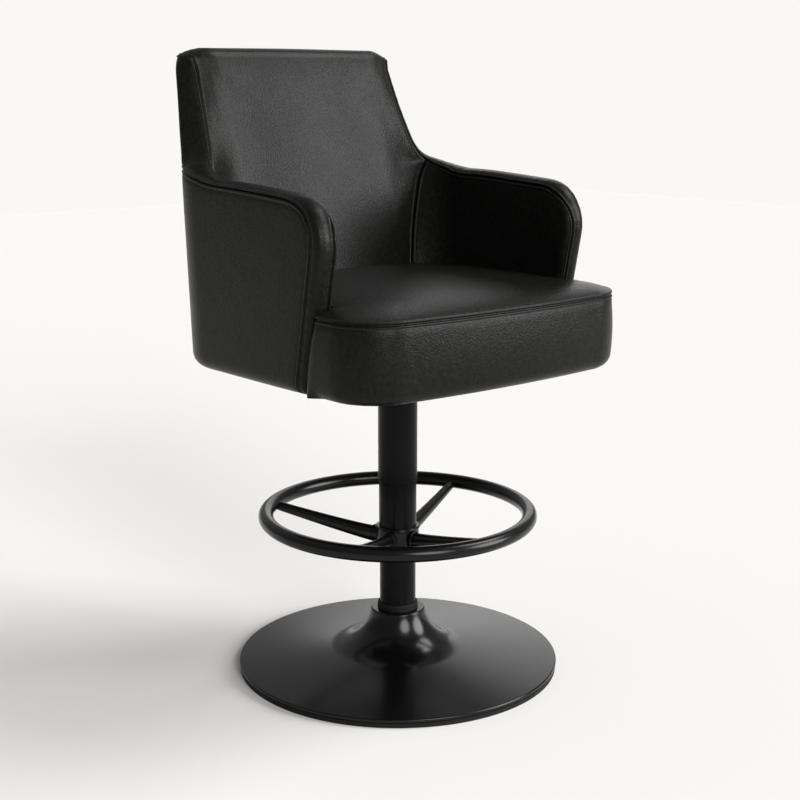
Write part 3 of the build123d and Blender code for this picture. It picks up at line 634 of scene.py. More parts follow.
def grid_normals(points, outward):
    """Unit normals of a grid, on the side that outward says."""
    du = np.gradient(points, axis=0)
    dv = np.gradient(points, axis=1)
    normals = np.cross(du, dv)
    size = np.linalg.norm(normals, axis=-1, keepdims=True)
    normals = normals / np.maximum(size, 1e-12)
    middle = normals[normals.shape[0] // 2, normals.shape[1] // 2]
    return normals * (1 if middle @ np.asarray(outward, float) > 0 else -1)


def seam_distance(points, lines):
    """Least distance from each place to any of the lines, and how far along it is."""
    flat = points.reshape(-1, points.shape[-1])
    best, where = np.full(len(flat), 9.0), np.zeros(len(flat))
    for line in lines:
        p, q = line[:-1], line[1:]
        run = lengths(line)[:-1]
        d = q - p
        size = np.maximum((d ** 2).sum(-1), 1e-14)
        for s in range(0, len(flat), 1500):
            block = flat[s:s + 1500]
            t = np.clip(((block[:, None] - p) * d).sum(-1) / size, 0, 1)
            gap = np.linalg.norm(block[:, None] - (p + t[..., None] * d), axis=-1)
            nearest = gap.argmin(1)
            rows = np.arange(len(block))
            least = gap[rows, nearest]
            place = run[nearest] + t[rows, nearest] * np.sqrt(size[nearest])
            better = least < best[s:s + 1500]
            best[s:s + 1500] = np.where(better, least, best[s:s + 1500])
            where[s:s + 1500] = np.where(better, place, where[s:s + 1500])
    return best.reshape(points.shape[:-1]), where.reshape(points.shape[:-1])


def sewn(points, outward, lines, swell=1.0, pad=0.0, roll_height=0.0, roll_width=0.030):
    """The grid with its seams tucked in, its stitch lines pulled down and its padding swollen."""
    gap, along = seam_distance(points, lines)
    if pad:
        points = inflated(points, gap, pad, outward)
    normals = grid_normals(points, outward)
    lift = np.interp(gap, LIFT_AT, LIFT)
    lift = np.where(lift > 0.0002, 0.0002 + (lift - 0.0002) * swell, lift)
    waves = np.sin(along * 2 * pi / PUCKER_PITCH) + np.sin(along * 311.0)
    pucker = np.exp(-((gap - PUCKER_AT) / PUCKER_WIDTH) ** 2) * waves
    lift = lift + roll_height * (1 - (1 - np.clip(gap / roll_width, 0, 1)) ** 2.4)
    return points + normals * (lift + PUCKER * pucker)[..., None]


print("lift at the seam", LIFT[0], "and in the middle", LIFT[-1])

# %% [markdown]
# A finished grid becomes a mesh, welded where grids meet. It could stay a bare skin, but leather on its
# foam backing is about three millimetres thick, and a cover that ends in the open has to show that. A
# Solidify modifier gives the thickness and is applied.

# %% Panel mesh
LEATHER_THICK = 0.003


def only(piece=None):
    """Leaves edit mode and selects nothing, or just one piece."""
    if bpy.context.object and bpy.context.object.mode != "OBJECT":
        bpy.ops.object.mode_set(mode="OBJECT")
    bpy.ops.object.select_all(action="DESELECT")
    if piece:
        bpy.context.view_layer.objects.active = piece
        piece.select_set(True)


def new_piece(name, verts, faces):
    """A piece made of those places and faces, which is the only one selected."""
    mesh = bpy.data.meshes.new(name)
    mesh.from_pydata(verts, [], faces)
    piece = bpy.data.objects.new(name, mesh)
    bpy.context.collection.objects.link(piece)
    only(piece)
    return piece


def faced_out(piece, material):
    """Turns the faces of a closed piece outwards, smooths them and gives them a material."""
    bpy.ops.object.mode_set(mode="EDIT")
    bpy.ops.mesh.select_all(action="SELECT")
    bpy.ops.mesh.normals_make_consistent(inside=False)
    bpy.ops.object.mode_set(mode="OBJECT")
    bpy.ops.object.shade_smooth()
    piece.data.materials.append(material)


def quads(n, m, forward, base=0):
    """Faces of a grid of n by m places, turned forward or back."""
    corners = [base + i * m + j for i in range(n - 1) for j in range(m - 1)]
    faces = [[k, k + m, k + m + 1, k + 1] for k in corners]
    return faces if forward else [face[::-1] for face in faces]


def ring_faces(rows, count, base=0):
    """Faces between closed rings of count places each."""
    pairs = [(base + r * count, i, (i + 1) % count) for r in range(rows - 1) for i in range(count)]
    return [[k + i, k + j, k + count + j, k + count + i] for k, i, j in pairs]


def mesh_of(name, grids, outward):
    """One mesh from several grids of (places, pattern places), welded where they meet."""
    verts, faces, pattern = [], [], []
    for points, uv in grids:
        normals = np.cross(np.gradient(points, axis=0), np.gradient(points, axis=1))
        forward = (normals * (points - np.asarray(outward, float))).sum() > 0
        faces += quads(*points.shape[:2], forward, len(verts))
        verts += points.reshape(-1, 3).tolist()
        pattern += uv.reshape(-1, 2).tolist()
    piece = new_piece(name, verts, faces)
    layer = piece.data.uv_layers.new(name="pattern")
    layer.data.foreach_set("uv", np.array([pattern[v] for face in faces for v in face], "f").ravel())
    bpy.ops.object.mode_set(mode="EDIT")
    bpy.ops.mesh.select_all(action="SELECT")
    bpy.ops.mesh.remove_doubles(threshold=0.00002)
    bpy.ops.object.mode_set(mode="OBJECT")
    bpy.ops.object.shade_smooth()
    wall = piece.modifiers.new("thickness", "SOLIDIFY")
    wall.thickness = LEATHER_THICK
    wall.offset = -1
    bpy.ops.object.modifier_apply(modifier=wall.name)
    piece.data.materials.append(LEATHER)
    print(name, len(piece.data.vertices), "vertices")
    return piece


def mirrored(points):
    """The grid on the other half of the tub."""
    return points * np.array([-1, 1, 1])


def both_halves(points, uv):
    """A grid that starts at the middle of the rear, carried over both halves."""
    left, left_uv = mirrored(points[::-1])[:-1], (uv[::-1] * np.array([-1, 1]))[:-1]
    return np.concatenate([left, points]), np.concatenate([left_uv, uv])


# %% [markdown]
# A pad is fullest in its middle and flat at its seams. A formula could raise it by the distance from the
# nearest seam, but that leaves ridges where two distances meet. Blender's cloth solver knows better: a
# coarse copy of the panel is held at its seams and blown up by air pressure for twenty steps. The foam
# under the leather limits how far the skin may rise, so the result is eased off at the wanted height and
# then laid over the fine panel.

# %% Blown-up padding
CLOTH_FRAMES = 20
CLOTH = {"quality": 6, "mass": 0.4, "tension_stiffness": 18, "compression_stiffness": 18,
         "shear_stiffness": 8, "bending_stiffness": 1.5, "use_pressure": True, "uniform_pressure_force": 4.0}
HELD_WIDTH, PAD_WIDTH = 0.0052, 0.014


def simulated_rise(coarse, held, outward):
    """How far the cloth solver lifts each place of a coarse panel."""
    n, m = coarse.shape[:2]
    normals = grid_normals(coarse, outward)
    forward = float((np.cross(np.gradient(coarse, axis=0), np.gradient(coarse, axis=1)) * normals).sum()) > 0
    panel = new_piece("cloth_panel", coarse.reshape(-1, 3).tolist(), quads(n, m, forward))
    group = panel.vertex_groups.new(name="held")
    group.add([int(i) for i in np.flatnonzero(held.ravel())], 1.0, "REPLACE")
    cloth = panel.modifiers.new("cloth", "CLOTH")
    for key, value in CLOTH.items():
        setattr(cloth.settings, key, value)
    cloth.settings.vertex_group_mass = group.name
    cloth.settings.effector_weights.gravity = 0
    cloth.collision_settings.use_collision = False
    cloth.point_cache.frame_start, cloth.point_cache.frame_end = 1, CLOTH_FRAMES
    for frame_number in range(1, CLOTH_FRAMES + 1):
        bpy.context.scene.frame_set(frame_number)
    bpy.ops.object.modifier_apply(modifier=cloth.name)
    flat = np.empty(n * m * 3)
    panel.data.vertices.foreach_get("co", flat)
    moved = flat.reshape(n, m, 3) - coarse
    bpy.data.objects.remove(panel)
    bpy.context.scene.frame_set(1)
    return (moved * normals).sum(-1)


def between(values, rows, columns, shape):
    """Spreads coarse values over the fine grid."""
    wide = np.stack([np.interp(np.arange(shape[0]), rows, values[:, j]) for j in range(values.shape[1])], 1)
    return np.stack([np.interp(np.arange(shape[1]), columns, wide[i]) for i in range(shape[0])], 0)


def inflated(points, gap, amount, outward, spacing=0.009, closed=False):
    """The panel swollen by the cloth solver, at most by amount."""
    normals = grid_normals(points, outward)
    pick = []
    for line in (points[:, points.shape[1] // 2], points[points.shape[0] // 2]):
        run = lengths(line)
        wanted = np.linspace(0, run[-1], max(6, int(run[-1] / spacing)))
        pick.append(np.unique(np.abs(run[:, None] - wanted).argmin(0)))
    rows, columns = pick
    coarse = points[np.ix_(rows, columns)]
    held = gap[np.ix_(rows, columns)] < HELD_WIDTH
    raw = simulated_rise(coarse, held, outward)
    if closed:
        raw[:, 0] = raw[:, -1] = (raw[:, 0] + raw[:, -1]) / 2
    full = max(float(np.percentile(raw, 90)), 1e-5)
    rise = amount * np.tanh(1.5 * np.clip(raw, 0, None) / full)
    print("cloth", coarse.shape[:2], "solver lifted it by", round(full, 5), "kept", amount)
    return points + normals * between(rise, rows, columns, points.shape[:2])[..., None]


print("cloth steps", CLOTH_FRAMES, "skipped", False)

# %% [markdown]
# The strip on the arms and wings has a round, padded top. It could be one profile swept along the edge,
# but its two seams aren't parallel, so every station has a curved section of its own. The stations are
# spaced again, closer where the cover leaves the main seam and at its end on the top of the back.

# %% Edge sections
run = lengths(CREST)
leave, finish_at = run[FIRST_FREE], run[-1]
places = np.concatenate([np.arange(0, leave - 0.001, 0.003), leave + np.array(SEAM_STEPS) * 1.15])
places = np.concatenate([places, np.arange(places[-1] + 0.003, finish_at - 0.021, 0.003),
                         (finish_at - np.array(SEAM_STEPS))[::-1]])
inner_places = places - 0.009 * smooth((places - finish_at + 0.034) / 0.034)


def spaced(values, at):
    """Values of the stations at other distances along the crest."""
    return np.stack([np.interp(at, run, column) for column in values.T], -1)


O_PAT2, CREST2, NORMALS2 = spaced(O_PAT, places), spaced(CREST, places), spaced(NORMALS, places)
I_PAT2 = spaced(I_PAT, inner_places)
WRAP2, FOOT2 = np.interp(places, run, WRAP), np.interp(places, run, FOOT)
NORMALS2 /= np.linalg.norm(NORMALS2, axis=1)[:, None]
LEAVE = int(np.argmin(abs(places - leave)))
ROUND, ROUND_LESS, ROUND_FRONT, FRONT_OUT = 0.0072, 0.0040, 0.002, 0.018


def tangent(face, pattern, normal):
    """Direction on a face, in the pattern's plane, that climbs towards the crest."""
    du = face(pattern[:, 0] + 0.0005, pattern[:, 1]) - face(pattern[:, 0] - 0.0005, pattern[:, 1])
    dv = face(pattern[:, 0], pattern[:, 1] + 0.0005) - face(pattern[:, 0], pattern[:, 1] - 0.0005)
    skin = np.cross(du, dv)
    skin /= np.maximum(np.linalg.norm(skin, axis=1)[:, None], 1e-12)
    up = normal - (normal * skin).sum(1)[:, None] * skin
    up /= np.linalg.norm(up, axis=1)[:, None]
    return up / np.maximum((up * normal).sum(1), 0.5)[:, None]


def edge_sections():
    """Four control places of every station's section."""
    share = (WRAP2 / WRAP_R)[:, None]
    crest = CREST2.copy()
    front = places < 0.12
    crest[front, 2] = hem_height(crest[front, 2])
    outer = outside(O_PAT2[:, 0], O_PAT2[:, 1])
    inner = inside(I_PAT2[:, 0], I_PAT2[:, 1])
    inner[front, 2] = hem_height(inner[front, 2])
    inner[:, 0] += WRAP2
    over = (ROUND - ROUND_LESS * FOOT2[:, None]) * (1 - share) + ROUND_FRONT * share
    rise = lambda p: ((crest - p) * NORMALS2).sum(1)[:, None] + over
    one = outer + tangent(outside, O_PAT2, NORMALS2) * rise(outer)
    up = tangent(inside, I_PAT2, NORMALS2) * (1 - share) + NORMALS2 * share
    two = inner + up * rise(inner) + np.array([FRONT_OUT, 0, 0]) * share
    return outer, one, two, inner


SECTIONS = edge_sections()


def bezier(section, t):
    """Places on a cubic curve."""
    p0, p1, p2, p3 = section
    t = t[:, None]
    return (1 - t) ** 3 * p0 + 3 * t * (1 - t) ** 2 * p1 + 3 * t ** 2 * (1 - t) * p2 + t ** 3 * p3


def section_line(section, start=BESIDE_SEAM, end=BESIDE_SEAM, middle=7):
    """The curve with places crowded at both seams."""
    line = bezier(section, np.linspace(0, 1, 80))
    length = lengths(line)[-1]
    return chain(line, graded(length, start, end, middle))


BAND = np.array([section_line(section) for section in zip(*SECTIONS)])
print("band grid", BAND.shape, "top of the arm", BAND[:LEAVE, :, 2].max().round(4))

# %% [markdown]
# The seams in space: the main seam, the inner seam along the edge, the joint between arm pad and back pad
# in the inner corner, the short seam where the strip ends on top of the back, and the seam along the rear
# edge. They could be found again on each panel, but they are kept as lines, because the tuck of every
# panel is measured as a distance from them.

# %% Seam lines
TOP_SEAM, PAD_LOW = 0.950, 0.512
TOP_EASE = 0.030
MAIN_LINE = outside(SEAM[:, 0], SEAM[:, 1])
MAIN_LINE = np.concatenate([mirrored(MAIN_LINE[::-1])[:-1], MAIN_LINE])
INNER_LINE = SECTIONS[3]
TIP_LINE = BAND[-1]
JOIN = next(i for i in range(LEAVE // 2, len(places))
            if places[i] > leave - 0.05 and INNER_LINE[i, 0] < 0.2125)
join_height = float(I_PAT2[JOIN, 1])


def pad_seam_b(z):
    """Pattern place of the seam between arm pad and back pad."""
    x = np.interp(z, (0.51, 0.607, 0.668, 0.710, 0.753, join_height),
                  (0.160, 0.174, 0.1832, 0.1917, 0.2012, float(INNER_LINE[JOIN, 0])))
    corner = np.polyval(IN_CORNER, z)
    flat = IN_HALF - corner
    return np.where(x < flat, x, flat + corner * np.arcsin(np.clip((x - flat) / corner, 0, 1)))


heights = np.linspace(join_height, PAD_LOW, 60)
PAD_PATTERN = np.stack([pad_seam_b(heights), heights], -1)
PAD_PATTERN[0] = I_PAT2[JOIN]
PAD_LINE = inside(PAD_PATTERN[:, 0], PAD_PATTERN[:, 1])
top_a = np.linspace(0, O_PAT2[-1, 0], 60)
top_share = smooth((top_a - O_PAT2[-1, 0] + TOP_EASE) / TOP_EASE)
TOP_PATTERN = np.stack([top_a, TOP_SEAM + (O_PAT2[-1, 1] - TOP_SEAM) * top_share], -1)
TOP_LINE = outside(TOP_PATTERN[:, 0], TOP_PATTERN[:, 1])
print("arm pad and back pad meet at", INNER_LINE[JOIN].round(4), "main seam leaves the edge at",
      SECTIONS[0][LEAVE].round(4))

# %% [markdown]
# The upper cover is one piece of leather: the edge bands of both arms and wings and the panel across the
# rear, above the main seam. Separate pieces would open a gap where the bands leave the seam, so the
# bands' grids and the rear panel's grid share the places where they meet and are welded there.

# %% Upper cover
band_seams = [INNER_LINE, TIP_LINE, MAIN_LINE]
band = sewn(BAND, (0, 0, 1), band_seams, 0.5)
band_runs = np.array([lengths(row) for row in BAND])
band_pattern = np.stack([np.repeat(places[:, None], BAND.shape[1], 1), band_runs], -1)

rise_side = O_PAT2[LEAVE:]
seam_side = np.vstack([SEAM[SEAM[:, 0] < O_PAT2[LEAVE, 0] - 0.0005], O_PAT2[LEAVE]])
share_up = lengths(rise_side) / lengths(rise_side)[-1]


def rear_grid():
    """Pattern of the rear panel: its rows end at the stations of the band."""
    columns = np.linspace(0, 1, 90)
    a_side = chain(seam_side, columns * lengths(seam_side)[-1])
    b_side = chain(TOP_PATTERN, columns * lengths(TOP_PATTERN)[-1])
    left = np.stack([0 * share_up, REAR_SEAM + share_up * (TOP_SEAM - REAR_SEAM)], -1)
    corners = (a_side[0], a_side[-1], b_side[0], b_side[-1])
    return filled(columns[:, None, None], share_up[None, :, None],
                  a_side[:, None], b_side[:, None], left[None], rise_side[None], corners)


rear_pattern = rear_grid()
rear = sewn(outside(rear_pattern[..., 0], rear_pattern[..., 1]), (0, 1, 0), [MAIN_LINE, TOP_LINE], 0.8)
rear[-1] = band[LEAVE:, 0]
rear_both = both_halves(rear, rear_pattern)
upper_grids = [rear_both, (band, band_pattern), (mirrored(band), band_pattern)]
upper_cover = mesh_of("upper_cover", upper_grids, (0, 0, 0.5))

# %% [markdown]
# The lower outer panel is one piece round the whole tub, from one arm's front seam to the other, and
# rolls in under the hem. It could be three pieces with seams at the corners, but the photograph shows no
# seam there. Its rows are crowded at the main seam and spread evenly at the hem, where nothing is sewn in
# sight.

# %% Outer panel
BOTTOM = 0.470
HEM_STEPS = (0, 0.004, 0.008, 0.012, 0.016, 0.020, 0.024, 0.028, 0.032, 0.038)
seam_down = SEAM[SEAM[:, 1] > BOTTOM]
front_a = float(seam_down[-1, 0])
turn_a = front_a - 0.11
outer_pattern = patch(seam_down, [(0, BOTTOM), (turn_a, BOTTOM)], [(0, REAR_SEAM), (0, BOTTOM)],
                      [seam_down[-1], (turn_a, BOTTOM)], SEAM_STEPS, HEM_STEPS, 200, 34)
outer = sewn(outside(outer_pattern[..., 0], outer_pattern[..., 1]), (1, 0.4, 0), [MAIN_LINE], 0.8)
outer_both = both_halves(outer, outer_pattern)
outer_cover = mesh_of("outer_cover", [outer_both], (0, 0, 0.6))

# %% [markdown]
# An arm pad covers the inside of an arm. On the arm's front it comes round the corner to the front face,
# where the inner seam runs. A flat panel would cut that corner off, so the places near the front edge are
# turned round a small radius. The left pad is the right one mirrored, with a mesh of its own.

# %% Arm pads
PADDING = 0.0022


def wrapped(pattern, edge, wraps):
    """Arm pad places: flat on the inside of the arm, turned round the front corner near its edge."""
    flat = pattern.reshape(-1, 2)
    gap, along = seam_distance(flat, [edge])
    nearest = chain(edge, along)
    radius = np.maximum(np.interp(along, lengths(edge), wraps), 1e-6)
    ahead = np.gradient(edge, axis=0)
    ahead = np.stack([np.interp(along, lengths(edge), ahead[:, i]) for i in (0, 1)], -1)
    inward = np.stack([-ahead[:, 1], ahead[:, 0]], -1)
    inward *= np.sign(((np.array([float(arm_b(0.05, 0.6)), 0.6]) - nearest) * inward).sum(1))[:, None]
    inward /= np.linalg.norm(inward, axis=1)[:, None]
    turn = np.clip(gap / radius, 0, pi / 2)
    corner = nearest + inward * (radius * (pi / 2 - 1))[:, None]
    bent = corner + inward * (radius * (1 - np.cos(turn)))[:, None]
    round_it = (gap < radius * pi / 2) & (radius > 1e-5)
    place = np.where(round_it[:, None], bent, flat)
    points = inside(place[:, 0], place[:, 1])
    points[:, 0] += np.where(radius > 1e-5, radius * (1 - np.sin(turn)), 0)
    return points.reshape(pattern.shape[:-1] + (3,))


reach = WRAP2 * (pi / 2 - 1) - DROP * (1 - WRAP2 / WRAP_R)
flat_edge = spaced(CREST_IN, places) + np.stack([-NORMALS2[:, 1], NORMALS2[:, 2]], -1) * reach[:, None]
on_wing = places > run[len(arm_line) - 1]
flat_edge[on_wing] = I_PAT2[on_wing]
start = next(i for i in range(len(places)) if flat_edge[i, 1] > PAD_LOW)
pad_edge, pad_wraps = flat_edge[start:JOIN + 1], WRAP2[start:JOIN + 1]
pad_edge[0, 1] = PAD_LOW
low_corner = (float(arm_b(0.02, PAD_LOW)), PAD_LOW)
arm_pattern = patch(pad_edge, [low_corner, PAD_PATTERN[-1]], [pad_edge[0], low_corner], PAD_PATTERN,
                    SEAM_STEPS, COARSE_STEPS, 110, 34, COARSE_STEPS, SEAM_STEPS)
arm_face = wrapped(arm_pattern, pad_edge, pad_wraps)
arm = sewn(arm_face, (-1, 0, 0), [INNER_LINE, PAD_LINE], pad=PADDING)
arm_cover_right = mesh_of("arm_cover_right", [(arm, arm_pattern)], (0.6, 0.1, 0.65))
arm_cover_left = mesh_of("arm_cover_left", [(mirrored(arm), arm_pattern)], (-0.6, 0.1, 0.65))

# %% [markdown]
# The back pad fills the inside between the arm pads, follows the inner seam up the wings, and rolls over
# the top of the back to its rear edge. The roll could be a piece of its own, but a joint along the top
# would show against the pale room. So pad and roll are one grid, and the roll is a curved section for
# each column that starts in the direction in which the pad arrives.

# %% Back pad
ROLL_TOP, ROLL_CORNER = 0.9525, 0.022
ROLL_HEIGHT, ROLL_WIDTH, ROLL_LEAN, ROLL_FADE = 0.0135, 0.046, 0.244, 0.024
COLUMNS = 70
back_side = evenly(np.vstack([PAD_PATTERN[::-1], I_PAT2[JOIN + 1:]]), 84)
back_pattern = np.array([np.stack([graded(2 * b, SEAM_STEPS, SEAM_STEPS, COLUMNS) - b,
                                   np.full(COLUMNS + 2 * len(SEAM_STEPS), z)], -1) for b, z in back_side])
back_face = inside(abs(back_pattern[..., 0]), back_pattern[..., 1])
back_face[..., 0] *= np.sign(back_pattern[..., 0] + 1e-12)


def roll_rows():
    """The pad's turn over the top, one section for each column."""
    top = back_face[-1]
    share = np.clip(top[:, 0] / top[-1, 0], -1, 1)
    outer_a = abs(share) * O_PAT2[-1, 0]
    outer_v = np.interp(outer_a, TOP_PATTERN[:, 0], TOP_PATTERN[:, 1])
    rear_edge = outside(outer_a, outer_v)
    rear_edge[:, 0] *= np.sign(share + 1e-12)
    corner = np.sqrt(1 - (1 - np.clip((top[-1, 0] - abs(top[:, 0])) / ROLL_CORNER, 0, 1)) ** 2)
    crest = CREST2[-1, 2] + (ROLL_TOP - CREST2[-1, 2]) * corner
    lean_out = np.array([0, ROLL_LEAN, 1.0])
    slopes = (back_face[-1] - back_face[-4]) / (back_face[-1, :, 2] - back_face[-4, :, 2])[:, None]
    rows = []
    for inner_place, outer_place, height, lean_in in zip(top, rear_edge, crest, slopes):
        section = (inner_place, inner_place + lean_in * (height - inner_place[2]),
                   outer_place + lean_out * (height - outer_place[2]), outer_place)
        rows.append(section_line(section, COARSE_STEPS, BESIDE_SEAM, 10))
    rows = np.array(rows).transpose(1, 0, 2)
    end = chain(TIP_LINE[::-1], lengths(TIP_LINE)[-1] * lengths(rows[:, -1]) / lengths(rows[:, -1])[-1])
    fade = smooth(1 - (top[-1, 0] - abs(top[:, 0])) / ROLL_FADE)[None, :, None]
    side = np.where(top[:, 0] > 0, 1.0, -1.0)[None, :, None]
    same = np.ones_like(side)
    step = (end - rows[:, -1])[:, None, :] * np.concatenate([side, same, same], -1)
    return rows + step * fade


roll = roll_rows()
back_all = np.concatenate([back_face, roll[1:]])
roll_run = lengths(roll[:, len(roll[0]) // 2])[1:, None]
roll_pattern = np.stack([np.repeat(back_pattern[-1:, :, 0], len(roll) - 1, 0),
                         back_pattern[-1, 0, 1] + np.repeat(roll_run, back_face.shape[1], 1)], -1)
back_pattern_all = np.concatenate([back_pattern, roll_pattern])
side_line = np.vstack([PAD_LINE[::-1], INNER_LINE[JOIN + 1:]])
back_lines = [half for line in (side_line, TIP_LINE, TOP_LINE) for half in (line, mirrored(line))]
back = sewn(back_all, (0, -1, 0), back_lines, 1.0, PADDING, ROLL_HEIGHT, ROLL_WIDTH)
back_cover = mesh_of("back_cover", [(back, back_pattern_all)], (0, 0.6, 0.7))

# %% [markdown]
# ## Seat cushion
# A box cushion cut like a T: as wide as the tub in front of the arms, and a tongue between them. It could
# be a rounded box with two corners cut out, but it has to follow the leaning arms, so its plan is worked
# out anew at every height. Closed rings are stacked over the side and the top, with a double-stitched
# seam between the two.

# %% Seat cushion
GAP = 0.001
WELT, CROWN = 0.600, 0.626
SEAT_HALF, SEAT_FRONT, SEAT_BOW = 0.261, -0.247, 0.009
CORNER_R, EAR_R = 0.080, 0.014


def cushion_outline(z):
    """Half plan of the cushion at a height, from the middle of the rear to the middle of the front."""
    front_y = arm_front(z) - GAP
    end_b = float(arm_b(front_y, z))
    tongue = inside(np.linspace(0, end_b, 90), np.full(90, z), GAP)[:, :2]
    turn = np.linspace(0, pi / 2, 26)
    ear = np.stack([SEAT_HALF - EAR_R + EAR_R * np.sin(turn), front_y - EAR_R + EAR_R * np.cos(turn)], -1)
    bend = np.stack([SEAT_HALF - CORNER_R + CORNER_R * np.cos(turn),
                     SEAT_FRONT + CORNER_R - CORNER_R * np.sin(turn)], -1)
    flat = SEAT_HALF - CORNER_R
    x = np.linspace(flat, 0, 20)
    bow = np.stack([x, SEAT_FRONT - SEAT_BOW * (1 - (x / flat) ** 2)], -1)
    return np.vstack([tongue, ear, [(SEAT_HALF, SEAT_FRONT + CORNER_R)], bend[1:], bow[1:]])


def ring_of(line, count):
    """Evenly spaced places round the whole cushion, from one half of its plan."""
    whole = np.vstack([line, (line * np.array([-1, 1]))[::-1][1:]])
    return chain(whole, np.linspace(0, lengths(whole)[-1], count, endpoint=False))


def softened(values, rounds, axis=0):
    """Values round a closed ring, each drawn towards its neighbours several times."""
    for _ in range(rounds):
        values = 0.25 * np.roll(values, 1, axis) + 0.5 * values + 0.25 * np.roll(values, -1, axis)
    return values


def drawn_in(ring, amount):
    """The ring moved inwards by amount."""
    run = np.roll(ring, -1, 0) - np.roll(ring, 1, 0)
    normal = np.stack([-run[:, 1], run[:, 0]], -1)
    normal /= np.linalg.norm(normal, axis=1)[:, None]
    return ring + normal * amount * (1 if (normal * (np.array([0, -0.05]) - ring)).sum() > 0 else -1)


def level_ring(ring, amount, z):
    """The ring moved inwards by amount, at one height."""
    return np.column_stack([drawn_in(ring, amount), np.full(COUNT, z)])


print("half plan at the welt", cushion_outline(WELT).shape)

# %% [markdown]
# The side bulges a little and is tucked in at the welt like any other seam. It starts under the cushion
# with a rounded hem. A hem of one size all round would bare the board at the foot of the arm, so it fades
# out there.

# %% Side of the cushion
COUNT = 420
SIDE_LEVELS = (0.4885, 0.4900, 0.4935, 0.4985, 0.5045, 0.511, 0.520, 0.532, 0.546, 0.560, 0.573, 0.583)
SEAT_LOW, SEAT_HEM, SEAT_HEM_TOP, BULGE = 0.488, 0.020, 0.5085, 0.0035
HEM_FADE, SIDE_INSET = 0.030, 0.002
welt_ring = ring_of(cushion_outline(WELT), COUNT)
rings = []
for z in SIDE_LEVELS:
    base = ring_of(cushion_outline(z), COUNT)
    hem = SEAT_HEM - sqrt(max(0, SEAT_HEM ** 2 - max(0, SEAT_HEM_TOP - z) ** 2))
    swell = BULGE * sin(pi * (z - SEAT_LOW) / (WELT - SEAT_LOW))
    free = smooth((arm_front(z) - GAP - 0.006 - base[:, 1]) / HEM_FADE)
    amount = hem * free + SIDE_INSET - swell
    rings.append(level_ring(base, amount[:, None], z))
for gap, lift in zip(LIFT_AT[9:0:-1], LIFT[9:0:-1]):
    rings.append(level_ring(ring_of(cushion_outline(WELT - gap), COUNT), 0.0012 - lift, WELT - gap))
welt_index = len(rings)
rings.append(level_ring(welt_ring, 0.0034, WELT))
for gap, lift in zip(LIFT_AT[1:9], LIFT[1:9]):
    rings.append(level_ring(welt_ring, 0.0016 - lift, WELT + gap))
print("rings below the top", len(rings), "welt", welt_index)

# %% [markdown]
# The top rises from its free edge with a round shoulder. Where the arms and the back hold the cushion,
# the distance that sets the height starts further in. The lesser of the two distances would leave a
# crease across the seat, so a soft minimum joins them.

# %% Top of the cushion
SHOULDER, HELD_DEPTH, BLEND = 0.022, 0.022, 0.010
DOME_R, DOME_Y = 3.4, 0.035
SHOULDER_STEPS = (0.0022, 0.0032, 0.0048, 0.007, 0.010, 0.014, 0.019, 0.025, 0.032)


def top_height(x, y, depth):
    """Height of the cushion's top at a depth in from its edge."""
    dome = CROWN + 0.001 - (x ** 2 + (y + DOME_Y) ** 2) / (2 * DOME_R)
    shoulder = 1 - np.exp(-np.clip(depth - 0.002, 0, None) / SHOULDER)
    return WELT + 0.005 + (dome - WELT - 0.005) * shoulder


held_front = arm_front(WELT) - 0.004
welt_x, welt_y = abs(welt_ring[:, 0]), welt_ring[:, 1]
held_line = welt_ring[(welt_y > held_front) & (welt_x < 0.247)]
split = int(np.argmax(np.linalg.norm(np.diff(held_line, axis=0), axis=1))) + 1
held_line = np.vstack([held_line[split:], held_line[:split]])
free_line = welt_ring[(welt_y < held_front + 0.003) & ((welt_y < -0.13) | (welt_x > 0.245))]


def edge_depth(ring):
    """Distance from the free edge of the top; where arms and back hold the cushion it starts further in."""
    free, _ = seam_distance(ring, [free_line])
    close, _ = seam_distance(ring, [held_line])
    close = close + HELD_DEPTH
    return -BLEND * np.log(np.exp(-free / BLEND) + np.exp(-close / BLEND) - np.exp(-(free + close) / BLEND))


def top_ring(ring):
    """The ring at the height of the cushion's top."""
    return np.column_stack([ring, top_height(ring[:, 0], ring[:, 1], edge_depth(ring))])


first = len(rings) + 4
for amount in SHOULDER_STEPS:
    rings.append(top_ring(softened(drawn_in(welt_ring, amount), int(amount * 1500))))
edge_ring = rings[-1][:, :2]
centre = np.array([0, -0.06])
for share in np.linspace(0.955, 0.02, 46):
    rings.append(top_ring(centre + (edge_ring - centre) * share))
rings = np.array(rings)
rings[first:, :, 2] = softened(rings[first:, :, 2], 30, 1)
print("rings", rings.shape, "highest", rings[..., 2].max().round(4))

# %% [markdown]
# The rings could be meshed as they are, but foam pushes the leather out between its seams, so all of them
# together are first blown up a little by the cloth solver. They are closed in the middle of the top and
# of the underside.

# %% Cushion mesh
SEAT_PADDING, SEAT_SPACING = 0.0030, 0.012


def cushion_mesh(name, rings):
    """Closed cushion: rings from under its edge over the side and the top to the middle."""
    rows, count = rings.shape[:2]
    bottom = [0, -0.05, rings[0, 0, 2]]
    verts = rings.reshape(-1, 3).tolist() + [rings[-1].mean(0).tolist(), bottom]
    faces = ring_faces(rows, count)
    last = (rows - 1) * count
    faces += [[last + i, last + (i + 1) % count, rows * count] for i in range(count)]
    faces += [[(i + 1) % count, i, rows * count + 1] for i in range(count)]
    piece = new_piece(name, verts, faces)
    faced_out(piece, LEATHER)
    print(name, len(piece.data.vertices), "vertices", piece.dimensions)
    return piece


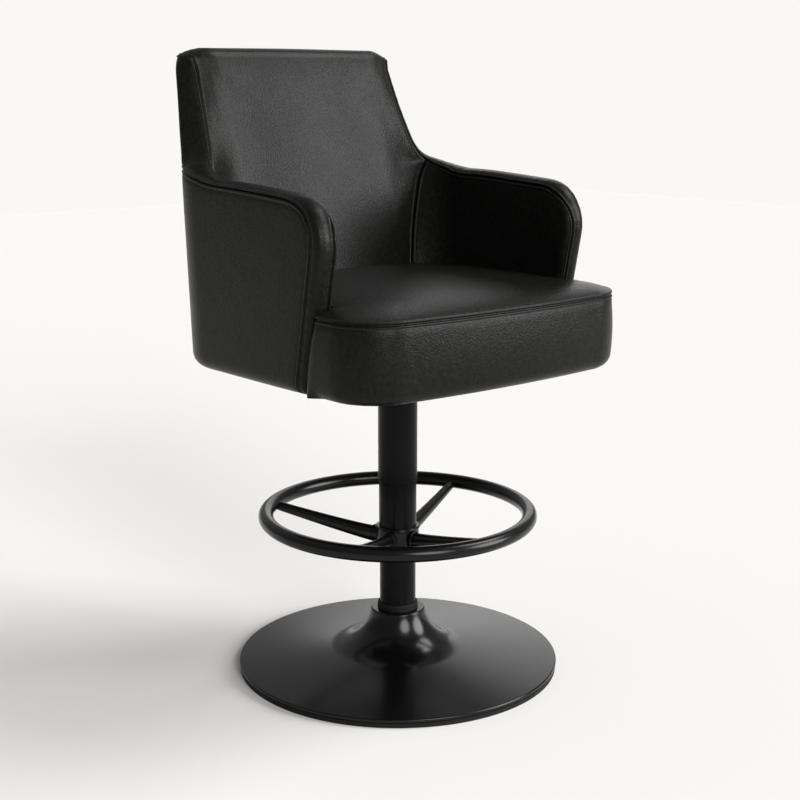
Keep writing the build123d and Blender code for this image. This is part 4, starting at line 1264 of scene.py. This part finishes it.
whole = np.concatenate([rings, rings[:, :1]], axis=1)
welt_loop, under_loop = whole[welt_index], whole[2]
gap, _ = seam_distance(whole, [welt_loop, under_loop])
gap = np.where(whole[..., 2] < under_loop[0, 2], 0, gap)
whole = inflated(whole, gap, SEAT_PADDING, (0, -1, 0), SEAT_SPACING, closed=True)
seat_cover = cushion_mesh("seat_cover", whole[:, :-1])

# %% [markdown]
# The seams are top-stitched in black thread. A texture could draw the stitches, but it would lie flat in
# the furrow, so each one is a small capsule of twenty faces. A row of stitches lies in the furrow five
# millimetres beside its seam, which is a row of the panel's own grid, and so it can't leave the leather.

# %% Stitches
STITCH_PITCH, STITCH_LENGTH, STITCH_R = 0.0046, 0.0031, 0.00042
STITCH_RINGS = ((-0.5, 0.45), (-0.32, 1.0), (0.32, 1.0), (0.5, 0.45))
SIDES = 6
FURROW = 7


def stitched_rows(name, rows):
    """One mesh with all the stitches along several rows of (places, normals)."""
    verts, faces = [], []
    ring = np.linspace(0, 2 * pi, SIDES, endpoint=False)
    for line, normals in rows:
        run = lengths(line)
        count = int(run[-1] / STITCH_PITCH)
        at = (np.arange(count) + 0.5) * run[-1] / count
        middle, ahead = chain(line, at), chain(line, at + 0.001) - chain(line, at - 0.001)
        up = np.stack([np.interp(at, run, normals[:, i]) for i in range(3)], -1)
        ahead /= np.maximum(np.linalg.norm(ahead, axis=1)[:, None], 1e-9)
        across = np.cross(ahead, up)
        across /= np.maximum(np.linalg.norm(across, axis=1)[:, None], 1e-9)
        for centre, along, side in zip(middle, ahead, across):
            upright = np.cross(side, along)
            base = len(verts)
            for place, size in STITCH_RINGS:
                sink = -0.00022 if size < 1 else 0.00008
                for t in ring:
                    spot = (centre + along * place * STITCH_LENGTH + upright * sink
                            + (side * cos(t) + upright * sin(t)) * STITCH_R * size)
                    verts.append(spot.tolist())
            faces += ring_faces(len(STITCH_RINGS), SIDES, base)
            faces.append([base + i for i in range(SIDES)][::-1])
            faces.append([base + 3 * SIDES + i for i in range(SIDES)])
    piece = new_piece(name, verts, faces)
    faced_out(piece, THREAD)
    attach(piece, "seat")
    print(name, len(verts) // (len(STITCH_RINGS) * SIDES), "stitches")


def furrow(grid, outward, row=None, column=None):
    """Places and normals of one row or column of a panel."""
    normals = grid_normals(grid, outward)
    return (grid[row], normals[row]) if column is None else (grid[:, column], normals[:, column])


def mirrored_rows(rows):
    """The rows on the other half of the tub."""
    return [(mirrored(line), mirrored(normals)) for line, normals in rows]


LAST_FURROW = -1 - FURROW
above_hem = int(np.argmax(places > 0.045))
band_rows = [furrow(band[above_hem:], (0, 0, 1), column=column) for column in (FURROW, LAST_FURROW)]
rear_row = furrow(rear_both[0], (0, 1, 0), column=FURROW)
arm_rows = [furrow(arm, (-1, 0, 0), column=FURROW), furrow(arm, (-1, 0, 0), row=LAST_FURROW)]
back_rows = [furrow(back, (0, -1, 0), column=column) for column in (FURROW, LAST_FURROW)]
seat_rows = [furrow(whole, (0, -1, 0), row=row) for row in (welt_index + FURROW, welt_index - FURROW)]
stitched_rows("stitches_upper", band_rows + mirrored_rows(band_rows) + [rear_row])
stitched_rows("stitches_outer", [furrow(outer_both[0], (0, 1, 0), column=FURROW)])
stitched_rows("stitches_arm_right", arm_rows)
stitched_rows("stitches_arm_left", mirrored_rows(arm_rows))
stitched_rows("stitches_back", back_rows)
stitched_rows("stitches_seat", seat_rows)

# %% [markdown]
# ## Which piece stands for which node
# The covers turn with the seat, so each rides on that body and stands for the CAD nodes that it hides.

# %% Ride and replace
COVERS = {upper_cover: ("upper_rear_panel", "edge_band_left", "edge_band_right"),
          outer_cover: ("outer_panel",),
          arm_cover_left: ("arm_pad_left",), arm_cover_right: ("arm_pad_right",), back_cover: ("back_pad",),
          seat_cover: ("seat_cushion",)}
for cover, nodes in COVERS.items():
    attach(cover, "seat")
    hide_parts(*nodes)
print("covers", len(COVERS))

# %% [markdown]
# ## Spun, bent and welded metal
# The base cover is spun from one sheet, the footrest ring is a bent tube, and its spokes are tapered oval
# arms welded into the sockets of a clamp hub. The CAD shapes could stay, but gloss black shows every
# facet and every plain joint. So each begins as a small primitive and is shaped in edit mode as its maker
# shapes it: spun round an axis, or drawn out along a line.

# %% Edit-mode helpers
def named(name):
    """Names the piece that was just added."""
    piece = bpy.context.object
    piece.name = piece.data.name = name
    return piece


def closed_up(piece, angle=35):
    """Merges the seam, turns the faces outwards and smooths all but the real edges."""
    bpy.ops.mesh.select_all(action="SELECT")
    bpy.ops.mesh.remove_doubles(threshold=0.00001)
    bpy.ops.mesh.normals_make_consistent(inside=False)
    bpy.ops.object.mode_set(mode="OBJECT")
    bpy.ops.object.shade_smooth_by_angle(angle=radians(angle))
    return piece


def turned(name, profile, steps):
    """Draws a closed profile of radius and height as a wire, then spins it round the column's axis."""
    only()
    radius, height = profile[0]
    bpy.ops.mesh.primitive_plane_add(size=0.01, location=(0, 0, 0))
    piece = named(name)
    bpy.ops.object.mode_set(mode="EDIT")
    bpy.ops.mesh.select_all(action="SELECT")
    bpy.ops.mesh.merge(type="CENTER")
    bpy.ops.transform.translate(value=(radius, 0, height))
    for (r0, z0), (r1, z1) in zip(profile, list(profile[1:]) + [profile[0]]):
        bpy.ops.mesh.extrude_region_move(TRANSFORM_OT_translate={"value": (r1 - r0, 0, z1 - z0)})
    bpy.ops.mesh.select_all(action="SELECT")
    bpy.ops.mesh.remove_doubles(threshold=0.000002)
    bpy.ops.mesh.spin(steps=steps, angle=2 * pi, center=(0, 0, 0), axis=(0, 0, 1))
    return closed_up(piece)


print("edit-mode helpers ready")

# %% [markdown]
# The cover's outer line starts at the hem on the floor ring, rounds the rim, climbs the long shallow cone
# and sweeps up into the neck. A lathe or a screw modifier could turn it, but the spin operator keeps it a
# plain mesh. The sheet is two millimetres thick, so the line comes back a sheet's thickness inside the
# first.

# %% Base cover
BASE_R, SHEET = 0.254, 0.002
NECK_R, NECK_TOP = 0.043, 0.093
HEM_R, NECK_BORE = 0.247, 0.0304
outer_line = rounded([(HEM_R, 0.0082, 0), (BASE_R, 0.0082, 0.0012), (BASE_R, 0.0132, 0.0022),
                      (0.055, 0.0364, 0.074), (NECK_R, NECK_TOP, 0.003), (NECK_BORE, NECK_TOP, 0)], 18)
inner_line = rounded([(NECK_BORE, NECK_TOP - SHEET, 0), (NECK_R - SHEET, NECK_TOP - SHEET, 0.0015),
                      (0.0533, 0.0344, 0.076), (BASE_R - SHEET, 0.0112, 0.0006), (BASE_R - SHEET, 0.0100, 0),
                      (HEM_R, 0.0100, 0)], 18)
base_cover = turned("base_cover_spun", np.vstack([outer_line, inner_line]).tolist(), 160)
print("base cover", base_cover.dimensions, len(base_cover.data.vertices), "vertices")

# %% [markdown]
# The ring is one circle of tube, swept round the column. A torus would look the same, but a circle that
# is spun is how the tube is really bent. Where a spoke meets the ring, it runs into the tube, as at a
# weld.

# %% Footrest ring
RING_R, TUBE_R, RING_Z = 0.2075, 0.0117, 0.248
only()
bpy.ops.mesh.primitive_circle_add(vertices=36, radius=TUBE_R, location=(RING_R, 0, RING_Z),
                                  rotation=(pi / 2, 0, 0))
footrest_ring = named("footrest_ring_bent")
bpy.ops.object.transform_apply(location=True, rotation=True, scale=True)
bpy.ops.object.mode_set(mode="EDIT")
bpy.ops.mesh.select_all(action="SELECT")
bpy.ops.mesh.spin(steps=180, angle=2 * pi, center=(0, 0, 0), axis=(0, 0, 1))
closed_up(footrest_ring, 60)
print("footrest ring", footrest_ring.dimensions)

# %% [markdown]
# A spoke is an oval bar. It leaves the hub thick, with a short plain socket, and thins towards the ring
# in a slight arc. A cone would have neither socket nor arc, so a circle is extruded step by step, and
# each new one is resized about its own middle. A pattern is shaped on the X axis, and the four spokes are
# copies of it, turned to their places.

# %% Spokes
HUB_R, SPOKE_LOW, SPOKE_HIGH = 0.0335, 0.2110, 0.2462
SPOKE_ANGLES = (125, 23, -87, -150)
SPOKE_STEPS = 14
WIDE, TALL = (0.0096, 0.0062), (0.0130, 0.0072)
COLLAR, COLLAR_X, COLLAR_END, SPOKE_X = 0.0014, -0.005, 0.0058, 0.0064
COLLAR_LENGTH, COLLAR_RISE = 0.0108, 0.0006


def spoke_section(share):
    """Half width, half height and height of the middle at a share of the spoke's length."""
    wide = WIDE[0] + (WIDE[1] - WIDE[0]) * share
    tall = TALL[0] + (TALL[1] - TALL[0]) * share ** 0.9
    height = SPOKE_LOW + (SPOKE_HIGH - SPOKE_LOW) * (share ** 1.12)
    return wide, tall, height


only()
wide, tall, height = spoke_section(0)
bpy.ops.mesh.primitive_circle_add(vertices=28, radius=1.0, fill_type="NGON",
                                  location=(HUB_R + COLLAR_X, 0, height), rotation=(0, pi / 2, 0))
spoke = named("spoke")
bpy.ops.object.transform_apply(location=False, rotation=True, scale=True)
spoke.scale = (1, wide + COLLAR, tall + COLLAR)
bpy.ops.object.transform_apply(location=True, rotation=True, scale=True)
bpy.ops.object.mode_set(mode="EDIT")
bpy.ops.mesh.select_all(action="SELECT")
bpy.ops.mesh.extrude_region_move(TRANSFORM_OT_translate={"value": (COLLAR_LENGTH, 0, COLLAR_RISE)})
now = (wide + COLLAR, tall + COLLAR)
at = (HUB_R + COLLAR_END, height + COLLAR_RISE)
for share in [0.0] + list(np.linspace(0.02, 1.0, SPOKE_STEPS)):
    wide, tall, height = spoke_section(share)
    to = (HUB_R + SPOKE_X + (RING_R - HUB_R - SPOKE_X) * share, height)
    bpy.ops.mesh.extrude_region_move(TRANSFORM_OT_translate={"value": (to[0] - at[0], 0, to[1] - at[1])})
    bpy.ops.transform.resize(value=(1, wide / now[0], tall / now[1]), center_override=(to[0], 0, to[1]))
    now, at = (wide, tall), to
closed_up(spoke, 50)
spokes = []
for angle in SPOKE_ANGLES:
    only(spoke)
    bpy.ops.object.duplicate()
    turned_spoke = named("footrest_spoke_" + str(angle % 360))
    turned_spoke.rotation_euler.z = radians(angle)
    bpy.ops.object.transform_apply(location=True, rotation=True, scale=True)
    spokes.append(turned_spoke)
bpy.data.objects.remove(spoke)
print("spokes", [piece.name for piece in spokes], spokes[0].dimensions)

# %% [markdown]
# The hub is turned with a bead near its top edge, and three domed screws clamp it to the post. A cylinder
# would miss the bead, which catches the light, so the profile is drawn and spun like the base. A screw
# starts as a short cylinder: its outer face is bevelled to a dome and sunk for the key.

# %% Hub and set screws
HUB_LOW, HUB_TOP, BEAD_Z, BEAD_R = 0.181, 0.229, 0.2266, 0.0019
HUB_BORE, LIP = 0.0289, 0.0004
SCREW_ANGLES, SCREW_R, SCREW_Z = (74, 167.5, -32), 0.0046, 0.205
DOME_EDGE, SOCKET_RIM, SOCKET_DEPTH = 0.0016, 0.0009, 0.0014
hub_outer = rounded([(HUB_BORE, HUB_LOW, 0), (HUB_R, HUB_LOW, 0.0015), (HUB_R, BEAD_Z - BEAD_R, 0)], 6)
bead = [(HUB_R + BEAD_R * cos(t), BEAD_Z + BEAD_R * sin(t)) for t in np.linspace(-pi / 2, pi / 2, 9)]
hub_rim = rounded([(HUB_R, BEAD_Z + BEAD_R, 0), (HUB_R, HUB_TOP + LIP, 0.0006),
                   (0.0300, HUB_TOP + LIP, 0)], 4)
hub_profile = hub_outer.tolist() + bead + hub_rim.tolist() + [(HUB_BORE, HUB_TOP - 0.0012)]
footrest_hub = turned("footrest_hub_turned", hub_profile, 96)
set_screws = []
for angle in SCREW_ANGLES:
    only()
    bpy.ops.mesh.primitive_cylinder_add(vertices=24, radius=SCREW_R, depth=SCREW_R,
                                        location=(HUB_R + 0.0003, 0, SCREW_Z), rotation=(0, pi / 2, 0))
    screw = named("hub_screw_" + str(int(angle) % 360))
    bpy.ops.object.transform_apply(location=True, rotation=True, scale=True)
    bpy.ops.object.mode_set(mode="EDIT")
    bpy.ops.mesh.select_mode(type="FACE")
    bpy.ops.mesh.select_all(action="DESELECT")
    bpy.ops.object.mode_set(mode="OBJECT")
    for polygon in screw.data.polygons:
        polygon.select = polygon.normal.x > 0.9
    bpy.ops.object.mode_set(mode="EDIT")
    bpy.ops.mesh.bevel(offset=DOME_EDGE, segments=4, affect="EDGES")
    bpy.ops.mesh.select_all(action="DESELECT")
    bpy.ops.object.mode_set(mode="OBJECT")
    front = max(polygon.center.x for polygon in screw.data.polygons)
    for polygon in screw.data.polygons:
        polygon.select = polygon.center.x > front - 0.00001
    bpy.ops.object.mode_set(mode="EDIT")
    bpy.ops.mesh.inset(thickness=SOCKET_RIM)
    bpy.ops.mesh.extrude_region_move(TRANSFORM_OT_translate={"value": (-SOCKET_DEPTH, 0, 0)})
    closed_up(screw, 40)
    screw.rotation_euler.z = radians(angle)
    bpy.ops.object.transform_apply(location=True, rotation=True, scale=True)
    set_screws.append(screw)
print("hub", footrest_hub.dimensions, "screws", len(set_screws))

# %% [markdown]
# The shaped metal pieces stand for their CAD nodes and take their paint. The footrest could turn with the
# seat, but its hub is clamped to the fixed post, so all of them ride on the pedestal.

# %% Finishes and places of the metal pieces
METAL = {"base_cover": [base_cover], "footrest_ring": [footrest_ring], "footrest_spokes": spokes,
         "footrest_hub": [footrest_hub], "hub_set_screws": set_screws}
for node, pieces in METAL.items():
    for piece in pieces:
        piece.data.materials.clear()
        piece.data.materials.append(BASE_BLACK if node == "base_cover" else FOOTREST_BLACK)
        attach(piece, "pedestal")
        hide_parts(node)
print("metal pieces", sum(len(pieces) for pieces in METAL.values()))

# %% [markdown]
# ## Floor and light
# The photograph has a pale studio without a horizon. A curved backdrop could give that, but it would
# stand in the view from behind. So a wide flat floor without gloss meets a sky that the camera sees as
# nearly white. The same sky lights the stool only faintly and shows in glossy surfaces a little stronger,
# because black leather and paint would turn grey under a white one.

# %% Stage
bpy.ops.mesh.primitive_plane_add(size=16, location=(0, 0, 0))
floor = bpy.context.object
floor.name = "floor"
floor_material, floor_tree, floor_shader = new_material("floor_paper", (0.752, 0.742, 0.730), 0.75)
floor_shader.inputs["Specular IOR Level"].default_value = 0
floor_grain = noise(floor_tree, coordinates(floor_tree), 30, 4.0)
floor_tree.links.new(ramp(floor_tree, floor_grain, 0.7, 0.8), floor_shader.inputs["Roughness"])
floor.data.materials.append(floor_material)

world = bpy.data.worlds.new("studio")
bpy.context.scene.world = world
world.use_nodes = True
world_tree = world.node_tree
path = world_tree.nodes.new("ShaderNodeLightPath")
SKY_COLOR, BACKDROP_COLOR = (1, 0.995, 0.985, 1), (0.948, 0.939, 0.923, 1)


def sky(node, color, strength):
    """Sets the colour and strength of a background node."""
    node.inputs["Color"].default_value = color
    node.inputs["Strength"].default_value = strength
    return node.outputs["Background"]


def by_ray(kind, others, these):
    """Shows one sky to rays of a kind and another to the others."""
    mix = world_tree.nodes.new("ShaderNodeMixShader")
    for source, socket in zip((path.outputs[kind], others, these), mix.inputs):
        world_tree.links.new(source, socket)
    return mix.outputs["Shader"]


plain = sky(world_tree.nodes["Background"], SKY_COLOR, 0.25)
in_gloss = sky(world_tree.nodes.new("ShaderNodeBackground"), SKY_COLOR, 0.30)
seen = sky(world_tree.nodes.new("ShaderNodeBackground"), BACKDROP_COLOR, 1.0)
whole_sky = by_ray("Is Camera Ray", by_ray("Is Glossy Ray", plain, in_gloss), seen)
world_tree.links.new(whole_sky, world_tree.nodes["World Output"].inputs["Surface"])
print("world nodes", len(world_tree.nodes))

# %% [markdown]
# A lamp near the stool would leave a bright pool on the floor, while the photograph's floor is even. So
# five very large soft suns take its place: the key from the right and above, one from the front, a strong
# low one from the right front as from a window, a faint one from behind on the right, and a faint one
# from above.

# %% Lights
def sky_light(name, towards, spread, strength):
    """A very large soft light that comes from one direction and lights the whole floor evenly."""
    turn = Vector(towards).to_track_quat("Z", "Y").to_euler()
    bpy.ops.object.light_add(type="SUN", location=(0, 0, 3), rotation=turn)
    lamp = bpy.context.object
    lamp.name = name
    lamp.data.angle = radians(spread)
    lamp.data.energy = strength


sky_light("key", (0.58, -0.28, 0.80), 28, 1.70)
sky_light("front", (-0.20, -0.90, 0.38), 30, 2.1)
sky_light("window", (0.62, -0.74, 0.30), 34, 3.1)
sky_light("side", (0.66, 0.62, 0.30), 30, 0.24)
sky_light("top", (0.1, 0.5, 1.0), 100, 0.15)
